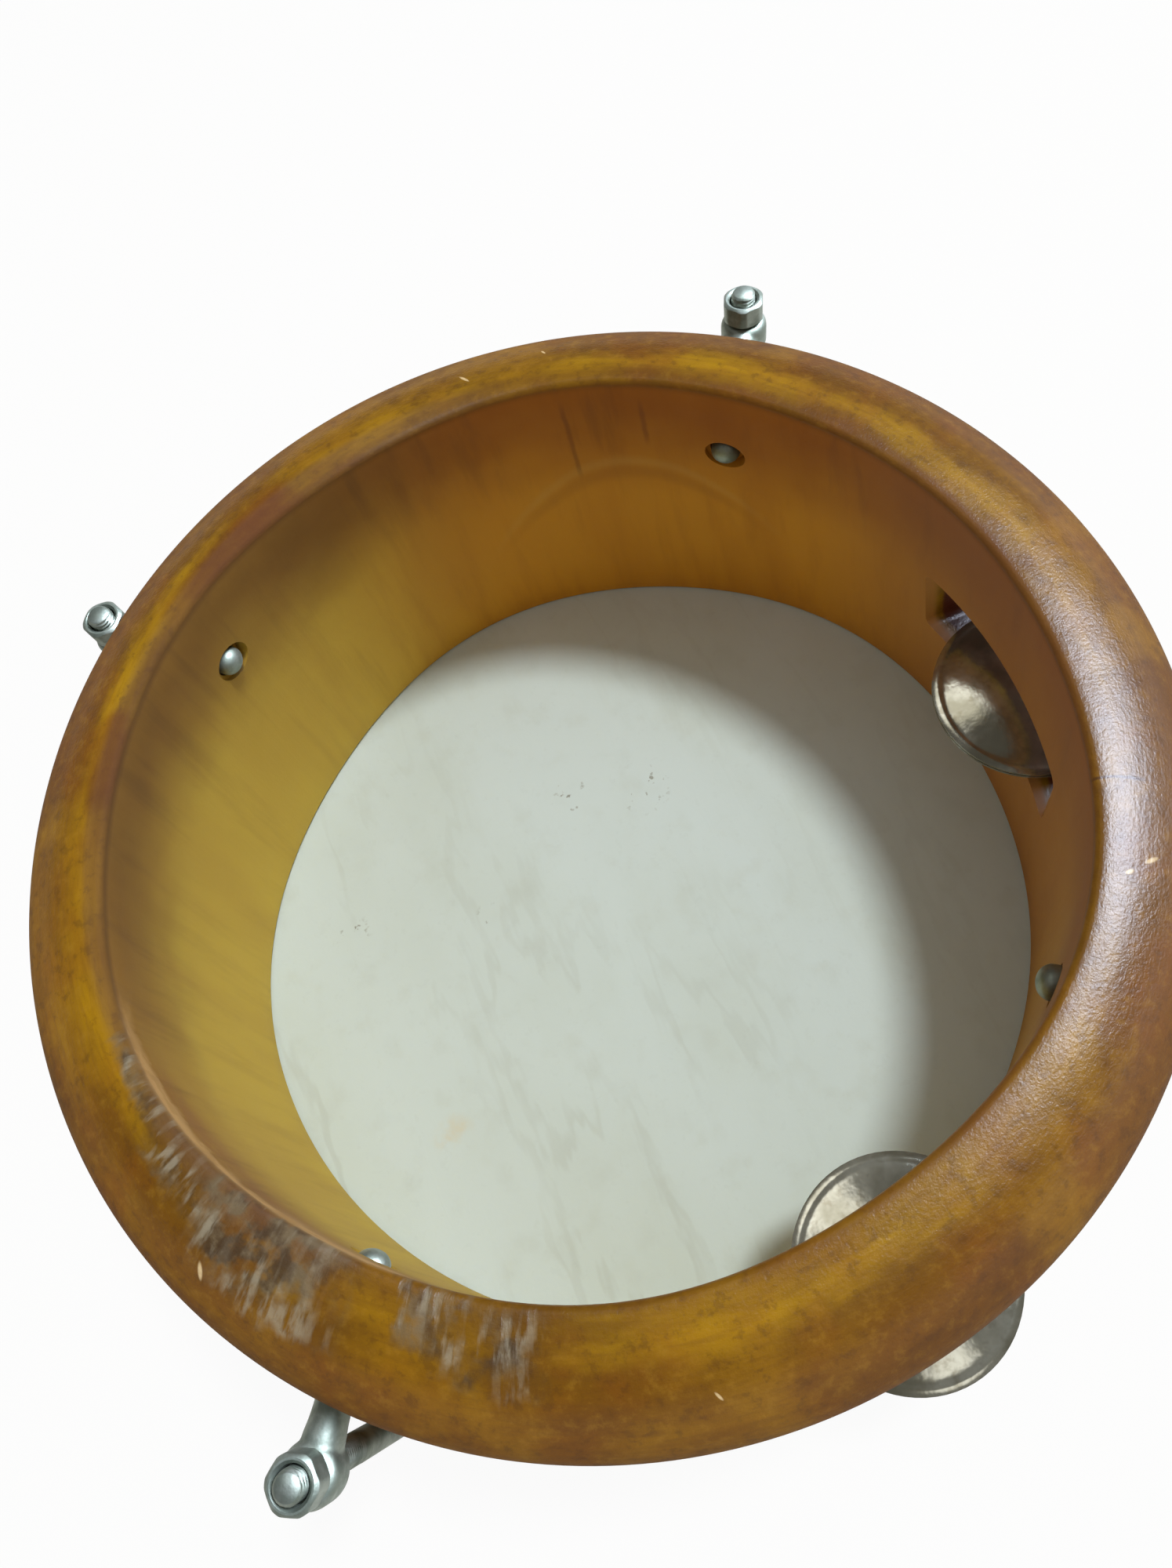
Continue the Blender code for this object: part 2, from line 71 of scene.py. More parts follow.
CEILING_MIRRORED = 0.14
# How steeply one looks up where the mirrored room starts to get darker, and where it is darkest
CEILING_SLOPES = (0.02, 0.34)
# Each panel's direction, the cosines off it between which it fades in, and its strength
PANELS = (
    (Vector((-0.20, 0.46, 0.86)).normalized(), (0.962, 0.993), 1.8),
    (Vector((0.05, -0.63, 0.77)).normalized(), (0.978, 0.996), 1.3),
)
TABLE_SIZE = 3.0
TABLE_PAINT = (0.62, 0.62, 0.62, 1.0)
TABLE_SHOWN = 0.94
TABLE_MIRRORED = 0.40
WHITE = (1.0, 1.0, 1.0, 1.0)


class Tone:
    """A node's socket that adds, scales and mixes like a number."""

    def __init__(self, socket):
        self.socket = socket
        self.tree = socket.id_data

    @staticmethod
    def node(tree, kind, settings=None, sockets=None, out=0):
        """Add a node: its settings first, then the values or links of its sockets."""
        made = tree.nodes.new(kind)
        for name, value in (settings or {}).items():
            setattr(made, name, value)
        for name, value in (sockets or {}).items():
            if isinstance(value, Tone):
                tree.links.new(value.socket, made.inputs[name])
            else:
                made.inputs[name].default_value = value
        return Tone(made.outputs[out]) if made.outputs else None

    def other(self, out):
        """Another output of the same node."""
        return Tone(self.socket.node.outputs[out])

    def math(self, operation, *others):
        """What one of Blender's maths operations makes of this tone and others."""
        sockets = {i: value for i, value in enumerate((self, *others))}
        return Tone.node(self.tree, "ShaderNodeMath", {"operation": operation}, sockets)

    def __add__(self, other):
        return self.math("ADD", other)

    __radd__ = __add__

    def __sub__(self, other):
        return self.math("SUBTRACT", other)

    def __rsub__(self, other):
        settings = {"operation": "SUBTRACT"}
        return Tone.node(self.tree, "ShaderNodeMath", settings, {0: other, 1: self})

    def __mul__(self, other):
        return self.math("MULTIPLY", other)

    __rmul__ = __mul__

    def __truediv__(self, other):
        return self.math("DIVIDE", other)

    def between(self, low, high):
        """0 below low, 1 above high, with a soft step from one to the other."""
        settings = {"interpolation_type": "SMOOTHSTEP"}
        return Tone.node(self.tree, "ShaderNodeMapRange", settings, {0: self, 1: low, 2: high})

    def mix(self, first, second, blend="MIX"):
        """Colour that goes from first to second as this tone goes from 0 to 1."""
        sockets = {0: self}
        for index, colour in ((6, first), (7, second)):
            sockets[index] = colour if isinstance(colour, Tone) else (*colour, 1.0)
        settings = {"data_type": "RGBA", "blend_type": blend}
        return Tone.node(self.tree, "ShaderNodeMix", settings, sockets, 2)

    def parts(self):
        """The x, y and z of a vector."""
        first = Tone.node(self.tree, "ShaderNodeSeparateXYZ", {}, {0: self})
        return first, first.other(1), first.other(2)

    def feed(self, shader, name):
        """Link this tone to one of the shader's sockets."""
        self.tree.links.new(self.socket, shader.inputs[name])


def seen(red, green, blue):
    """Linear colour of one that is seen as 0 to 255."""
    shares = [value / 255 for value in (red, green, blue)]
    return tuple(((s + 0.055) / 1.055) ** 2.4 if s > 0.04045 else s / 12.92 for s in shares)


def sight(tree, shown, mirrored):
    """One value where the camera looks straight or through glass, another where it sees a mirrored
    place, and 0 for light that is only scattered."""
    path = Tone.node(tree, "ShaderNodeLightPath")
    straight = path.math("MAXIMUM", path.other("Is Transmission Ray")) * shown
    return straight.math("MAXIMUM", path.other("Is Glossy Ray") * mirrored)


def placed(name, data):
    """Put new data into the scene as an object."""
    made = bpy.data.objects.new(name, data)
    scene.collection.objects.link(made)
    return made


def hang(name, direction, distance, shape, size, power, colour):
    """Hang an area light over the drum, facing it."""
    light = bpy.data.lights.new(name, "AREA")
    light.shape = shape
    light.size, light.size_y = size
    light.energy = power
    light.color = colour
    made = placed(name, light)
    made.location = direction * distance
    made.rotation_euler = direction.to_track_quat("Z", "Y").to_euler()
    return made


camera = placed("camera", bpy.data.cameras.new("camera"))
camera.location = CAMERA_PLACE
camera.rotation_euler = CAMERA_TURN
camera.data.sensor_fit = "VERTICAL"
camera.data.sensor_height = FRAME_HEIGHT
camera.data.lens = FRAME_HEIGHT * FOCAL_SHARE
camera.data.clip_start = CAMERA_CLIP
scene.camera = camera
scene.view_settings.view_transform = "Standard"

lamp = hang(
    "overhead_lamp", LAMP_DIRECTION, LAMP_DISTANCE, "DISK", LAMP_SIZE, LAMP_POWER, LAMP_COLOUR
)
lamp.visible_glossy = False
window = hang(
    "window_sheen", WINDOW_DIRECTION, WINDOW_DISTANCE, "RECTANGLE", WINDOW_SIZE, WINDOW_POWER,
    WINDOW_COLOUR,
)
window.visible_diffuse = False

room = bpy.data.worlds.new("pale_room")
scene.world = room
room.use_nodes = True
air = room.node_tree
air.nodes.clear()
outlook = Tone.node(air, "ShaderNodeTexCoord")
upwards = outlook.parts()[2]
darker = upwards.between(*CEILING_SLOPES) * (HORIZON_MIRRORED - CEILING_MIRRORED)
mirrored = HORIZON_MIRRORED - darker
for direction, fade, strength in PANELS:
    sockets = {0: outlook, 1: direction}
    facing = Tone.node(air, "ShaderNodeVectorMath", {"operation": "DOT_PRODUCT"}, sockets, 1)
    mirrored = mirrored + facing.between(*fade) * strength
glow = sight(air, 1.0, mirrored)
backdrop = Tone.node(air, "ShaderNodeBackground", {}, {"Color": WHITE, "Strength": glow})
fill = Tone.node(air, "ShaderNodeBackground", {}, {"Color": ROOM_COLOUR, "Strength": ROOM_STRENGTH})
sky = Tone.node(air, "ShaderNodeMixShader", {}, {0: sight(air, 1.0, 1.0), 1: fill, 2: backdrop})
Tone.node(air, "ShaderNodeOutputWorld", {}, {"Surface": sky})

table_mesh = bpy.data.meshes.new("white_table")
reach = TABLE_SIZE / 2
corners = ((-reach, -reach), (reach, -reach), (reach, reach), (-reach, reach))
table_mesh.from_pydata([(x, y, 0.0) for x, y in corners], [], [(0, 1, 2, 3)])
table = placed("white_table", table_mesh)
table_white = bpy.data.materials.new("table_white")
table_white.use_nodes = True
tree = table_white.node_tree
tree.nodes.clear()
paint = Tone.node(tree, "ShaderNodeBsdfDiffuse", {}, {"Color": TABLE_PAINT})
backlight = Tone.node(tree, "ShaderNodeEmission", {}, {"Color": WHITE, "Strength": 1.0})
bright = sight(tree, TABLE_SHOWN, TABLE_MIRRORED)
surface = Tone.node(tree, "ShaderNodeMixShader", {}, {0: bright, 1: paint, 2: backlight})
Tone.node(tree, "ShaderNodeOutputMaterial", {}, {"Surface": surface})
table_mesh.materials.append(table_white)

# Wooden shell
# One ring turned from a short log, so its growth rings run round the rim and its fibres run up the
# wall. It is stained golden brown and varnished, and the near left of the rim is chafed bare.
SHELL_FOOT_Z = 0.0012
RIM_Z = 0.0855
RIM_INNER_RADIUS = 0.0800
RIM_OUTER_RADIUS = 0.1004
FOOT_INNER_RADIUS = 0.0878
FOOT_OUTER_RADIUS = 0.0960
FOOT_CORNER = 0.0008
CROWN_BASE_Z = 0.0735
CROWN_TOP_Z = 0.0859
RIM_EDGE_RADIUS = 0.0012
BEARING_EDGE_RADIUS = 0.0030
SHOULDER_Z = SHELL_FOOT_Z + BEARING_EDGE_RADIUS
SHELL_STEPS = 288
WALL_ROWS = 12
WELDED_WITHIN = 0.000004
MERGED_WITHIN = 0.000002
# How the opening stands off a circle: cosine and sine in mm, for one wave a turn, two and so on
RIM_WAVES = (
    (-0.48, -0.41), (0.58, -0.55), (-0.45, -0.31), (-0.23, -0.21), (-0.08, -0.18), (0.17, 0.42),
)
FOOT_WAVES = (
    (0.63, -0.61), (0.62, 0.77), (-0.46, -0.12), (0.46, 0.0), (-0.20, 0.26), (-0.20, -0.03),
)
WAVES_FADE_WITHIN = 0.0105
SLOT_WIDTH = 0.0490
SLOT_HEIGHT = 0.0200
SLOT_MIDDLE_Z = 0.0465
SLOT_CORNER_RADIUS = 0.0020
SLOT_CUTTER_RADIUS = 0.092
SLOT_CUTTER_LENGTH = 0.06
CUT_OVERRUN = 0.01
JINGLE_ANGLES = (math.radians(-4.0), math.radians(-79.6))
PIN_FOOT_RADIUS = 0.091805
PIN_LEAN = -0.014516
PIN_HOLE_RADIUS = 0.0016
PIN_HOLE_DEPTH = 0.0656
PIN_HOLE_STEPS = 24
LUG_ANGLES = tuple(math.radians(a) for a in (49.1, 132.2, 225.4, 315.4))
EYE_RADII = (0.1134, 0.1080, 0.1114, 0.1114)
EYE_Z = 0.0651
BOLT_SKEW = math.radians(8.0)
BOLT_HOLE_RADIUS = 0.0033
BOLT_HOLE_STEPS = 36
COUNTERBORE_RADIUS = 0.0042
COUNTERBORE_DEPTH = 0.0015
# Stains, wear, bare wood and painted shade
OLIVE = seen(108, 73, 8)
GOLD = seen(163, 123, 4)
OUTER_BROWN = seen(119, 72, 6)
BLOT_BROWN = seen(124, 70, 8)
RING_BROWN = seen(86, 52, 8)
WORN_GOLD = seen(156, 113, 6)
HAIR_BROWN = seen(98, 62, 16)
PALE_GRIT = seen(160, 118, 34)
DARK_GRIT = seen(78, 48, 14)
# Painted shade of the rim's inner edge on its side away from the lamp
EDGE_SHADE_BROWN = seen(104, 64, 34)
SMUDGE_RED = seen(104, 50, 12)
# Painted shade of the inner wall just under the rim
WALL_SHADED_HIGH = seen(158, 114, 40)
WALL_LOW = seen(212, 180, 66)
WALL_BAND = seen(178, 134, 52)
WALL_GRAIN = seen(140, 96, 40)
# Painted shade of the wall's side away from the lamp: no tint, and its darker orange tint
UNSHADED_TINT = (1.0, 1.0, 1.0)
AWAY_SIDE_SHADE_TINT = (0.92, 0.59, 0.33)
DRIP_BROWN = seen(84, 52, 26)
# Painted shade of the right of the inner wall
RIGHT_SHADE_BROWN = seen(146, 101, 70)
# Painted shade under the rim on the upper left of the inner wall
SHADE_OLIVE = seen(104, 74, 14)
BRINK_BROWN = seen(92, 58, 10)
GROWTH_PALE = seen(200, 160, 84)
GROWTH_DARK = seen(120, 66, 22)
CRACK_BROWN = seen(88, 50, 24)
# Painted shade on the faces cut through the wall
CUT_SHADE_BROWN = seen(84, 40, 24)
SMEAR_TAN = seen(152, 98, 46)
BARE_WOOD = seen(220, 180, 124)
SCUFF_DARK = seen(62, 45, 22)
SCUFF_GREY = seen(104, 90, 66)
SCRAPE_GREY = seen(156, 147, 128)
SPLIT_BROWN = seen(70, 44, 26)
NICK_PALE = seen(232, 206, 160)
VARNISH_IOR = 1.28
WOOD_RELIEF = 0.00032
# Growth rings of the inner wall: where they arch highest, the wall's radius there, and their curve
GROWTH_PEAK = math.radians(61.0)
GROWTH_RADIUS = 0.083
GROWTH_CURVE = 21.0
RIM_CRACK_ANGLE = math.radians(-28.7)
# Cracks of the inner wall: angle in degrees, and height of the lower end
WALL_CRACKS = ((68.5, 0.056), (57.3, 0.067))
# Chafed patches: angle and half width in degrees, inner and outer radius, strength
CHAFED = (
    (-171.0, 3.5, 0.0815, 0.0845, 0.6),
    (-165.5, 6.0, 0.0790, 0.0850, 0.8),
    (-156.0, 7.0, 0.0790, 0.0880, 1.0),
    (-143.0, 10.5, 0.0790, 0.0925, 1.0),
    (-126.0, 3.2, 0.0810, 0.0880, 0.8),
    (-119.5, 5.5, 0.0805, 0.0910, 1.0),
)
# Nicks of the rim: angle in degrees, radius, length and width
NICKS = (
    (80.5, 0.0873, 0.0020, 0.0004),
    (-36.6, 0.0894, 0.0016, 0.0005),
    (-38.3, 0.0864, 0.0010, 0.0005),
    (70.0, 0.0900, 0.0010, 0.0003),
    (-100.0, 0.0930, 0.0010, 0.0003),
    (-148.5, 0.0930, 0.0018, 0.0006),
)


def lathe_tree():
    """Turn a profile of (radius, 0, height) points about Z, with steps round the turn."""
    made = bpy.data.node_groups.new("lathe", "GeometryNodeTree")
    face = made.interface
    face.new_socket("Profile", in_out="INPUT", socket_type="NodeSocketGeometry")
    face.new_socket("Steps", in_out="INPUT", socket_type="NodeSocketInt")
    face.new_socket("Finish", in_out="INPUT", socket_type="NodeSocketMaterial")
    face.new_socket("Turned", in_out="OUTPUT", socket_type="NodeSocketGeometry")
    given = made.nodes.new("NodeGroupInput")
    profile, steps, finish = (Tone(given.outputs[i]) for i in range(3))
    rows = Tone.node(made, "GeometryNodeAttributeDomainSize", {"component": "MESH"}, {0: profile})
    across = rows + 1.0
    grid = Tone.node(made, "GeometryNodeMeshGrid", {}, {2: steps + 1.0, 3: across})
    index = Tone.node(made, "GeometryNodeInputIndex")
    column = (index / across).math("FLOOR")
    row = (index - column * across).math("MODULO", rows).math("ROUND")
    own_place = Tone.node(made, "GeometryNodeInputPosition")
    sockets = {"Geometry": profile, "Value": own_place, "Index": row}
    point = Tone.node(made, "GeometryNodeSampleIndex", {"data_type": "FLOAT_VECTOR"}, sockets)
    radius, _, height = point.parts()
    turn = column * (2 * math.pi) / steps
    sockets = {0: radius * turn.math("COSINE"), 1: radius * turn.math("SINE"), 2: height}
    place = Tone.node(made, "ShaderNodeCombineXYZ", {}, sockets)
    moved = Tone.node(made, "GeometryNodeSetPosition", {}, {"Geometry": grid, "Position": place})
    sockets = {"Geometry": moved, "Distance": WELDED_WITHIN}
    joined = Tone.node(made, "GeometryNodeMergeByDistance", {}, sockets)
    plain = Tone.node(made, "GeometryNodeRealizeInstances", {}, {"Geometry": joined})
    coated = Tone.node(made, "GeometryNodeSetMaterial", {}, {"Geometry": plain, "Material": finish})
    Tone.node(made, "NodeGroupOutput", {}, {0: coated})
    return made


lathe = lathe_tree()


def shaped(name, points, tree, values, closed=True):
    """Object whose mesh is a line of points, shaped by a node tree with its inputs set."""
    mesh = bpy.data.meshes.new(name)
    ends = [(i, i + 1) for i in range(len(points) - 1)]
    if closed:
        ends.append((len(points) - 1, 0))
    mesh.from_pydata(points, ends, [])
    made = placed(name, mesh)
    step = made.modifiers.new("shape", "NODES")
    step.node_group = tree
    for item in tree.interface.items_tree:
        if item.name in values:
            step[item.identifier] = values[item.name]
    return made


def settle(source, name, smooth_angle=40.0):
    """Turn an object with live modifiers into a plain mesh with merged points and outward faces."""
    depsgraph = bpy.context.evaluated_depsgraph_get()
    mesh = bpy.data.meshes.new_from_object(source.evaluated_get(depsgraph))
    source.modifiers.clear()
    built = bmesh.new()
    built.from_mesh(mesh)
    bmesh.ops.remove_doubles(built, verts=built.verts, dist=MERGED_WITHIN)
    bmesh.ops.recalc_face_normals(built, faces=built.faces)
    built.to_mesh(mesh)
    built.free()
    bpy.data.objects.remove(source)
    mesh.shade_smooth()
    mesh.set_sharp_from_angle(angle=math.radians(smooth_angle))
    mesh.name = name
    return placed(name, mesh)


def turned(name, profile, steps, finish, closed=True, smooth_angle=40.0):
    """Plain mesh of a profile that is turned about Z."""
    sizes = {"Steps": steps, "Finish": finish}
    return settle(shaped(f"{name}_blank", profile, lathe, sizes, closed), name, smooth_angle)


def from_bmesh(built, name, finish):
    """Object with the mesh that was built, in one finish."""
    mesh = bpy.data.meshes.new(name)
    built.to_mesh(mesh)
    built.free()
    mesh.materials.append(finish)
    return placed(name, mesh)


def arc(centre, radii, start, end, steps):
    """Points (radius, 0, height) along an elliptical arc, with angles in degrees."""
    angles = [math.radians(start + (end - start) * i / steps) for i in range(steps + 1)]
    (x, z), (across, up) = centre, radii
    return [(x + across * math.cos(a), 0.0, z + up * math.sin(a)) for a in angles]


def stand(piece, angle, radius=0.0, height=0.0, lean=0.0, skew=0.0):
    """Move a mesh to its angle round the drum, with its X outwards and its Z leaning out."""
    turn = Matrix.Rotation(angle, 4, "Z") @ Matrix.Translation((radius, 0.0, height))
    piece.data.transform(turn @ Matrix.Rotation(skew, 4, "Z") @ Matrix.Rotation(lean, 4, "Y"))
    return piece


def combine(target, others, operation="DIFFERENCE"):
    """Queue exact Booleans on a piece."""
    for other in others:
        step = target.modifiers.new("combine", "BOOLEAN")
        step.operation = operation
        step.solver = "EXACT"
        step.object = other


def dress(piece, body, nodes):
    """Let a finished piece ride on a body in place of CAD nodes."""
    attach(piece, body)
    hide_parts(*nodes)


def inner_wall_radius(z):
    """Radius of the inner wall, which widens evenly towards the head."""
    share = (RIM_Z - z) / (RIM_Z - SHELL_FOOT_Z)
    return RIM_INNER_RADIUS + (FOOT_INNER_RADIUS - RIM_INNER_RADIUS) * share


def eye_to_wall(eye_radius):
    """Where a bolt's axis meets the inner wall, measured outwards from its eye."""
    aside = eye_radius * math.sin(BOLT_SKEW)
    return math.sqrt(inner_wall_radius(EYE_Z) ** 2 - aside**2) - eye_radius * math.cos(BOLT_SKEW)


def off_round(waves, sweep):
    """How far a hand-turned edge stands off its circle, in metres."""
    numbered = enumerate(waves, 1)
    return sum(a * math.cos(n * sweep) + b * math.sin(n * sweep) for n, (a, b) in numbered) / 1000


def finish_named(name):
    """A new material with its shader, its object coordinates and a noise maker."""
    made = bpy.data.materials.new(name)
    made.use_nodes = True
    tree = made.node_tree
    spot = Tone.node(tree, "ShaderNodeTexCoord", out=3)
    still = (0.0, 0.0, 0.0)

    def noise(scale, detail=3.0, stretch=(1.0, 1.0, 1.0), shift=still, turn=still, rough=0.55):
        sockets = {"Vector": spot, "Location": shift, "Rotation": turn, "Scale": stretch}
        moved = Tone.node(tree, "ShaderNodeMapping", {}, sockets)
        sockets = {"Vector": moved, "Scale": scale, "Detail": detail, "Roughness": rough}
        return Tone.node(tree, "ShaderNodeTexNoise", {}, sockets)

    return made, tree.nodes["Principled BSDF"], spot, noise


def raise_surface(shader, relief, strength, distance):
    """Bump a surface by a relief."""
    sockets = {"Strength": strength, "Distance": distance, "Height": relief}
    Tone.node(relief.tree, "ShaderNodeBump", {}, sockets).feed(shader, "Normal")


def wood_finish():
    """Varnished wood: rings and brushed stain round the rim, upright grain inside, its wear, and
    painted shade.
    """
    made, shader, spot, noise = finish_named("stained_wood")
    tree = made.node_tree
    x, y, z = spot.parts()
    radius = (x * x + y * y).math("SQRT")
    sweep = y.math("ARCTAN2", x)
    flare = (FOOT_INNER_RADIUS - RIM_INNER_RADIUS) / (RIM_Z - SHELL_FOOT_Z)
    wall = (RIM_Z - z) * flare + RIM_INNER_RADIUS
    depth = RIM_Z - z
    inside = (1.0 - (radius - wall).between(0.0016, 0.0034)) * depth.between(-0.0002, 0.0016)
    crown = 1.0 - inside

    def round_rim(around, across, shift=0.0, detail=3.0):
        """Noise drawn out round the drum: features per turn, and per metre across the wall."""
        sockets = {0: x / radius * around, 1: y / radius * around, 2: z * across + shift}
        place = Tone.node(tree, "ShaderNodeCombineXYZ", {}, sockets)
        sockets = {
            "Vector": place, "W": radius * across, "Scale": 1.0,
            "Detail": detail, "Roughness": 0.55,
        }
        return Tone.node(tree, "ShaderNodeTexNoise", {"noise_dimensions": "4D"}, sockets)

    def near(angle, width, ragged=0.0):
        """1 near an angle round the drum, fading over a width, both in degrees."""
        off = (sweep + ragged - math.radians(angle)).math("WRAP", math.pi, -math.pi)
        off = off.math("ABSOLUTE")
        return 1.0 - off.between(math.radians(width) * 0.45, math.radians(width))

    def band(value, low, high, soft):
        """1 between two values, fading over a soft width on both sides."""
        risen = value.between(low - soft, low + soft)
        return risen * (1.0 - value.between(high - soft, high + soft))

    # Rim: olive and golden bands that melt into each other, redder towards the outer edge
    streaks = round_rim(3.0, 150.0)
    broad = round_rim(2.2, 60.0, 0.37)
    fine = round_rim(14.0, 1100.0, 0.81, 4.0)
    blots = noise(75.0, 4.0, shift=(0.3, 0.1, 0.0))
    sunny = near(-84.0, 42.0) * 0.75 + near(176.0, 28.0) + near(140.0, 24.0) + near(30.0, 44.0)
    high = z.between(0.0560, 0.0800)
    gold = streaks * 0.55 + broad * 0.45
    gold = gold + band(radius, 0.0810, 0.0875, 0.003) * (0.04 + 0.13 * sunny)
    rim = gold.between(0.48, 0.72).mix(OLIVE, GOLD)
    rim = (radius.between(0.0860, 0.0960) * 0.65).mix(rim, OUTER_BROWN)
    rim = (blots.between(0.44, 0.70) * (0.18 + 0.30 * high)).mix(rim, BLOT_BROWN)
    rim = (round_rim(3.4, 110.0, 0.19).between(0.50, 0.74) * 0.5).mix(rim, RING_BROWN)
    grit = noise(420.0, 4.0, rough=0.65)
    patchy = noise(34.0, 5.0, shift=(0.1, 0.4, 0.7)).between(0.48, 0.62)
    patchy = (patchy + near(172.0, 15.0) * 0.6) * (0.10 + 0.35 * high)
    rim = patchy.math("MINIMUM", 1.0).mix(rim, WORN_GOLD)
    rim = (fine.between(0.40, 0.70) * 0.3).mix(rim, HAIR_BROWN)
    rim = (grit.between(0.50, 0.72) * 0.30).mix(rim, PALE_GRIT)
    rim = ((1.0 - grit.between(0.34, 0.47)) * 0.35).mix(rim, DARK_GRIT)
    uneven = (blots - 0.5) * 0.3
    # Painted shade: the inner edge of the rim goes dark brown on the side that faces away from the
    # lamp
    shaded_inner_edge = (1.0 - (radius - wall).between(0.0004, 0.0020)) * near(-25.0, 72.0)
    rim = (shaded_inner_edge * 0.75).mix(rim, EDGE_SHADE_BROWN)
    smudge = near(118.0, 15.0, uneven) + near(152.5, 8.0, uneven)
    smudge = smudge * (1.0 - radius.between(0.0825, 0.0870))
    rim = (smudge * 0.65).mix(rim, SMUDGE_RED)

    # Inner wall: upright grain, painted shade under the rim and away from the lamp, golden towards
    # the head
    warp = noise(24.0, 3.0)
    upright = noise(1.0, 4.0, (240.0, 240.0, 10.0), rough=0.6)
    bands = noise(1.0, 2.0, (52.0, 52.0, 6.0), (0.2, 0.5, 0.0))
    # Painted shade: the wall goes from a shaded brown just under the rim to a lit gold deeper down
    pale = (depth + warp * 0.036 - 0.018).between(0.002, 0.040)
    # Painted shade: the side of the inner wall that faces away from the lamp is tinted darker and
    # more orange
    away_from_lamp_shade = (x / radius * 0.86 + y / radius * 0.50).between(-0.35, 0.65)
    inner = pale.mix(WALL_SHADED_HIGH, WALL_LOW)
    inner = (bands.between(0.42, 0.60) * 0.24).mix(inner, WALL_BAND)
    inner = (upright.between(0.44, 0.76) * 0.16).mix(inner, WALL_GRAIN)
    inner = away_from_lamp_shade.mix(inner, away_from_lamp_shade.mix(UNSHADED_TINT, AWAY_SIDE_SHADE_TINT), "MULTIPLY")
    drips = noise(1.0, 4.0, (150.0, 150.0, 9.0), (0.4, 0.3, 0.0), rough=0.6).between(0.50, 0.70)
    drips = drips * (1.0 - depth.between(0.006, 0.046))
    inner = (drips * 0.3).mix(inner, DRIP_BROWN)
    # Painted shade: the right of the inner wall, which faces away from the lamp, goes a greyer
    # brown
    inner = (near(-22.0, 60.0) * 0.6).mix(inner, RIGHT_SHADE_BROWN)
    # Painted shade: a dull olive band under the rim on the upper left of the wall, fading downwards
    shade_under_left_rim = near(137.0, 62.0) * (1.0 - (depth + warp * 0.030 - 0.015).between(-0.012, 0.052))
    inner = (shade_under_left_rim * (0.30 + 0.5 * blots)).mix(inner, SHADE_OLIVE)
    tone = inside.mix(rim, inner)
    brink = 1.0 - (radius - wall).between(0.0022, 0.0055)
    brink = brink * (1.0 - depth.between(0.0008, 0.0026))
    tone = (brink * (0.3 + 0.25 * near(165.0, 60.0))).mix(tone, BRINK_BROWN)

    # Growth rings that arch up the far inner wall, and two upright cracks beside them
    off_peak = (sweep - GROWTH_PEAK) * GROWTH_RADIUS
    arch = z + off_peak * off_peak * GROWTH_CURVE + (warp - 0.5) * 0.006
    crest = band(arch, 0.0575, 0.0605, 0.0014) * near(62.0, 27.0) * inside
    tone = (crest * 0.22).mix(tone, GROWTH_PALE)
    below = band(arch, 0.0530, 0.0570, 0.0018) * near(62.0, 24.0) * inside
    tone = (below * 0.2).mix(tone, GROWTH_DARK)
    jagged = (noise(260.0) - 0.5) * 0.010
    for angle, low in WALL_CRACKS:
        line = (sweep - math.radians(angle) + jagged).math("ABSOLUTE")
        line = (1.0 - line.between(0.002, 0.010)) * band(z, low, 0.079, 0.003)
        tone = (line * inside * 0.4).mix(tone, CRACK_BROWN)

    # Slots and bolt holes: painted shade, dark brown on the faces cut through the wall
    taper = (RIM_OUTER_RADIUS - FOOT_OUTER_RADIUS) / (CROWN_BASE_Z - SHOULDER_Z)
    outer = (z - CROWN_BASE_Z) * taper + RIM_OUTER_RADIUS
    shaded_cuts = (radius - wall).between(0.0035, 0.0045) * (outer - radius).between(0.0012, 0.0022)
    shaded_cuts = shaded_cuts * (1.0 - z.between(0.0700, 0.0725))
    tone = shaded_cuts.mix(tone, CUT_SHADE_BROWN)

    # Chafing: a bare lip under the near left of the rim, and scraped patches along the crown there
    broken = noise(210.0, 3.0, shift=(0.9, 0.2, 0.4)).between(0.40, 0.54)
    worn = depth + (blots - 0.5) * 0.014 + broken * 0.0018
    smear = near(-157.0, 16.0) * band(worn, 0.0080, 0.0150, 0.0030) * inside
    tone = (smear * (0.20 + 0.25 * broken)).mix(tone, SMEAR_TAN)
    lip = near(-153.0, 30.0, (blots - 0.5) * 0.2) * (1.0 - worn.between(0.0040, 0.0080)) * inside
    lip = lip + near(-138.0, 11.0) * (1.0 - depth.between(0.0040, 0.0160)) * inside
    lip = lip.math("MINIMUM", 1.0) * (0.20 + 0.5 * blots + 0.2 * broken)
    tone = lip.mix(tone, BARE_WOOD)
    chatter = round_rim(40.0, 110.0, 0.6, 4.0)
    ragged = (blots - 0.5) * 0.22 + (chatter - 0.5) * 0.10
    edge = radius + (blots - 0.5) * 0.012 + (chatter - 0.5) * 0.006
    patches = 0.0
    for angle, width, low, high, strength in CHAFED:
        patches = near(angle, width, ragged) * band(edge, low, high, 0.0012) * strength + patches
    patches = (patches * crown).math("MINIMUM", 1.0)
    chafed = patches * (0.10 + 0.90 * blots.between(0.40, 0.54)) * (0.35 + 0.65 * broken)
    greyed = noise(200.0, 4.0, shift=(0.6, 0.2, 0.0)).between(0.42, 0.60)
    tone = (chafed * 0.9).mix(tone, greyed.mix(SCUFF_DARK, SCUFF_GREY))
    strokes = noise(150.0, 4.0).between(0.42, 0.60)
    scraped = patches * chatter.between(0.46, 0.60) * (0.25 + strokes)
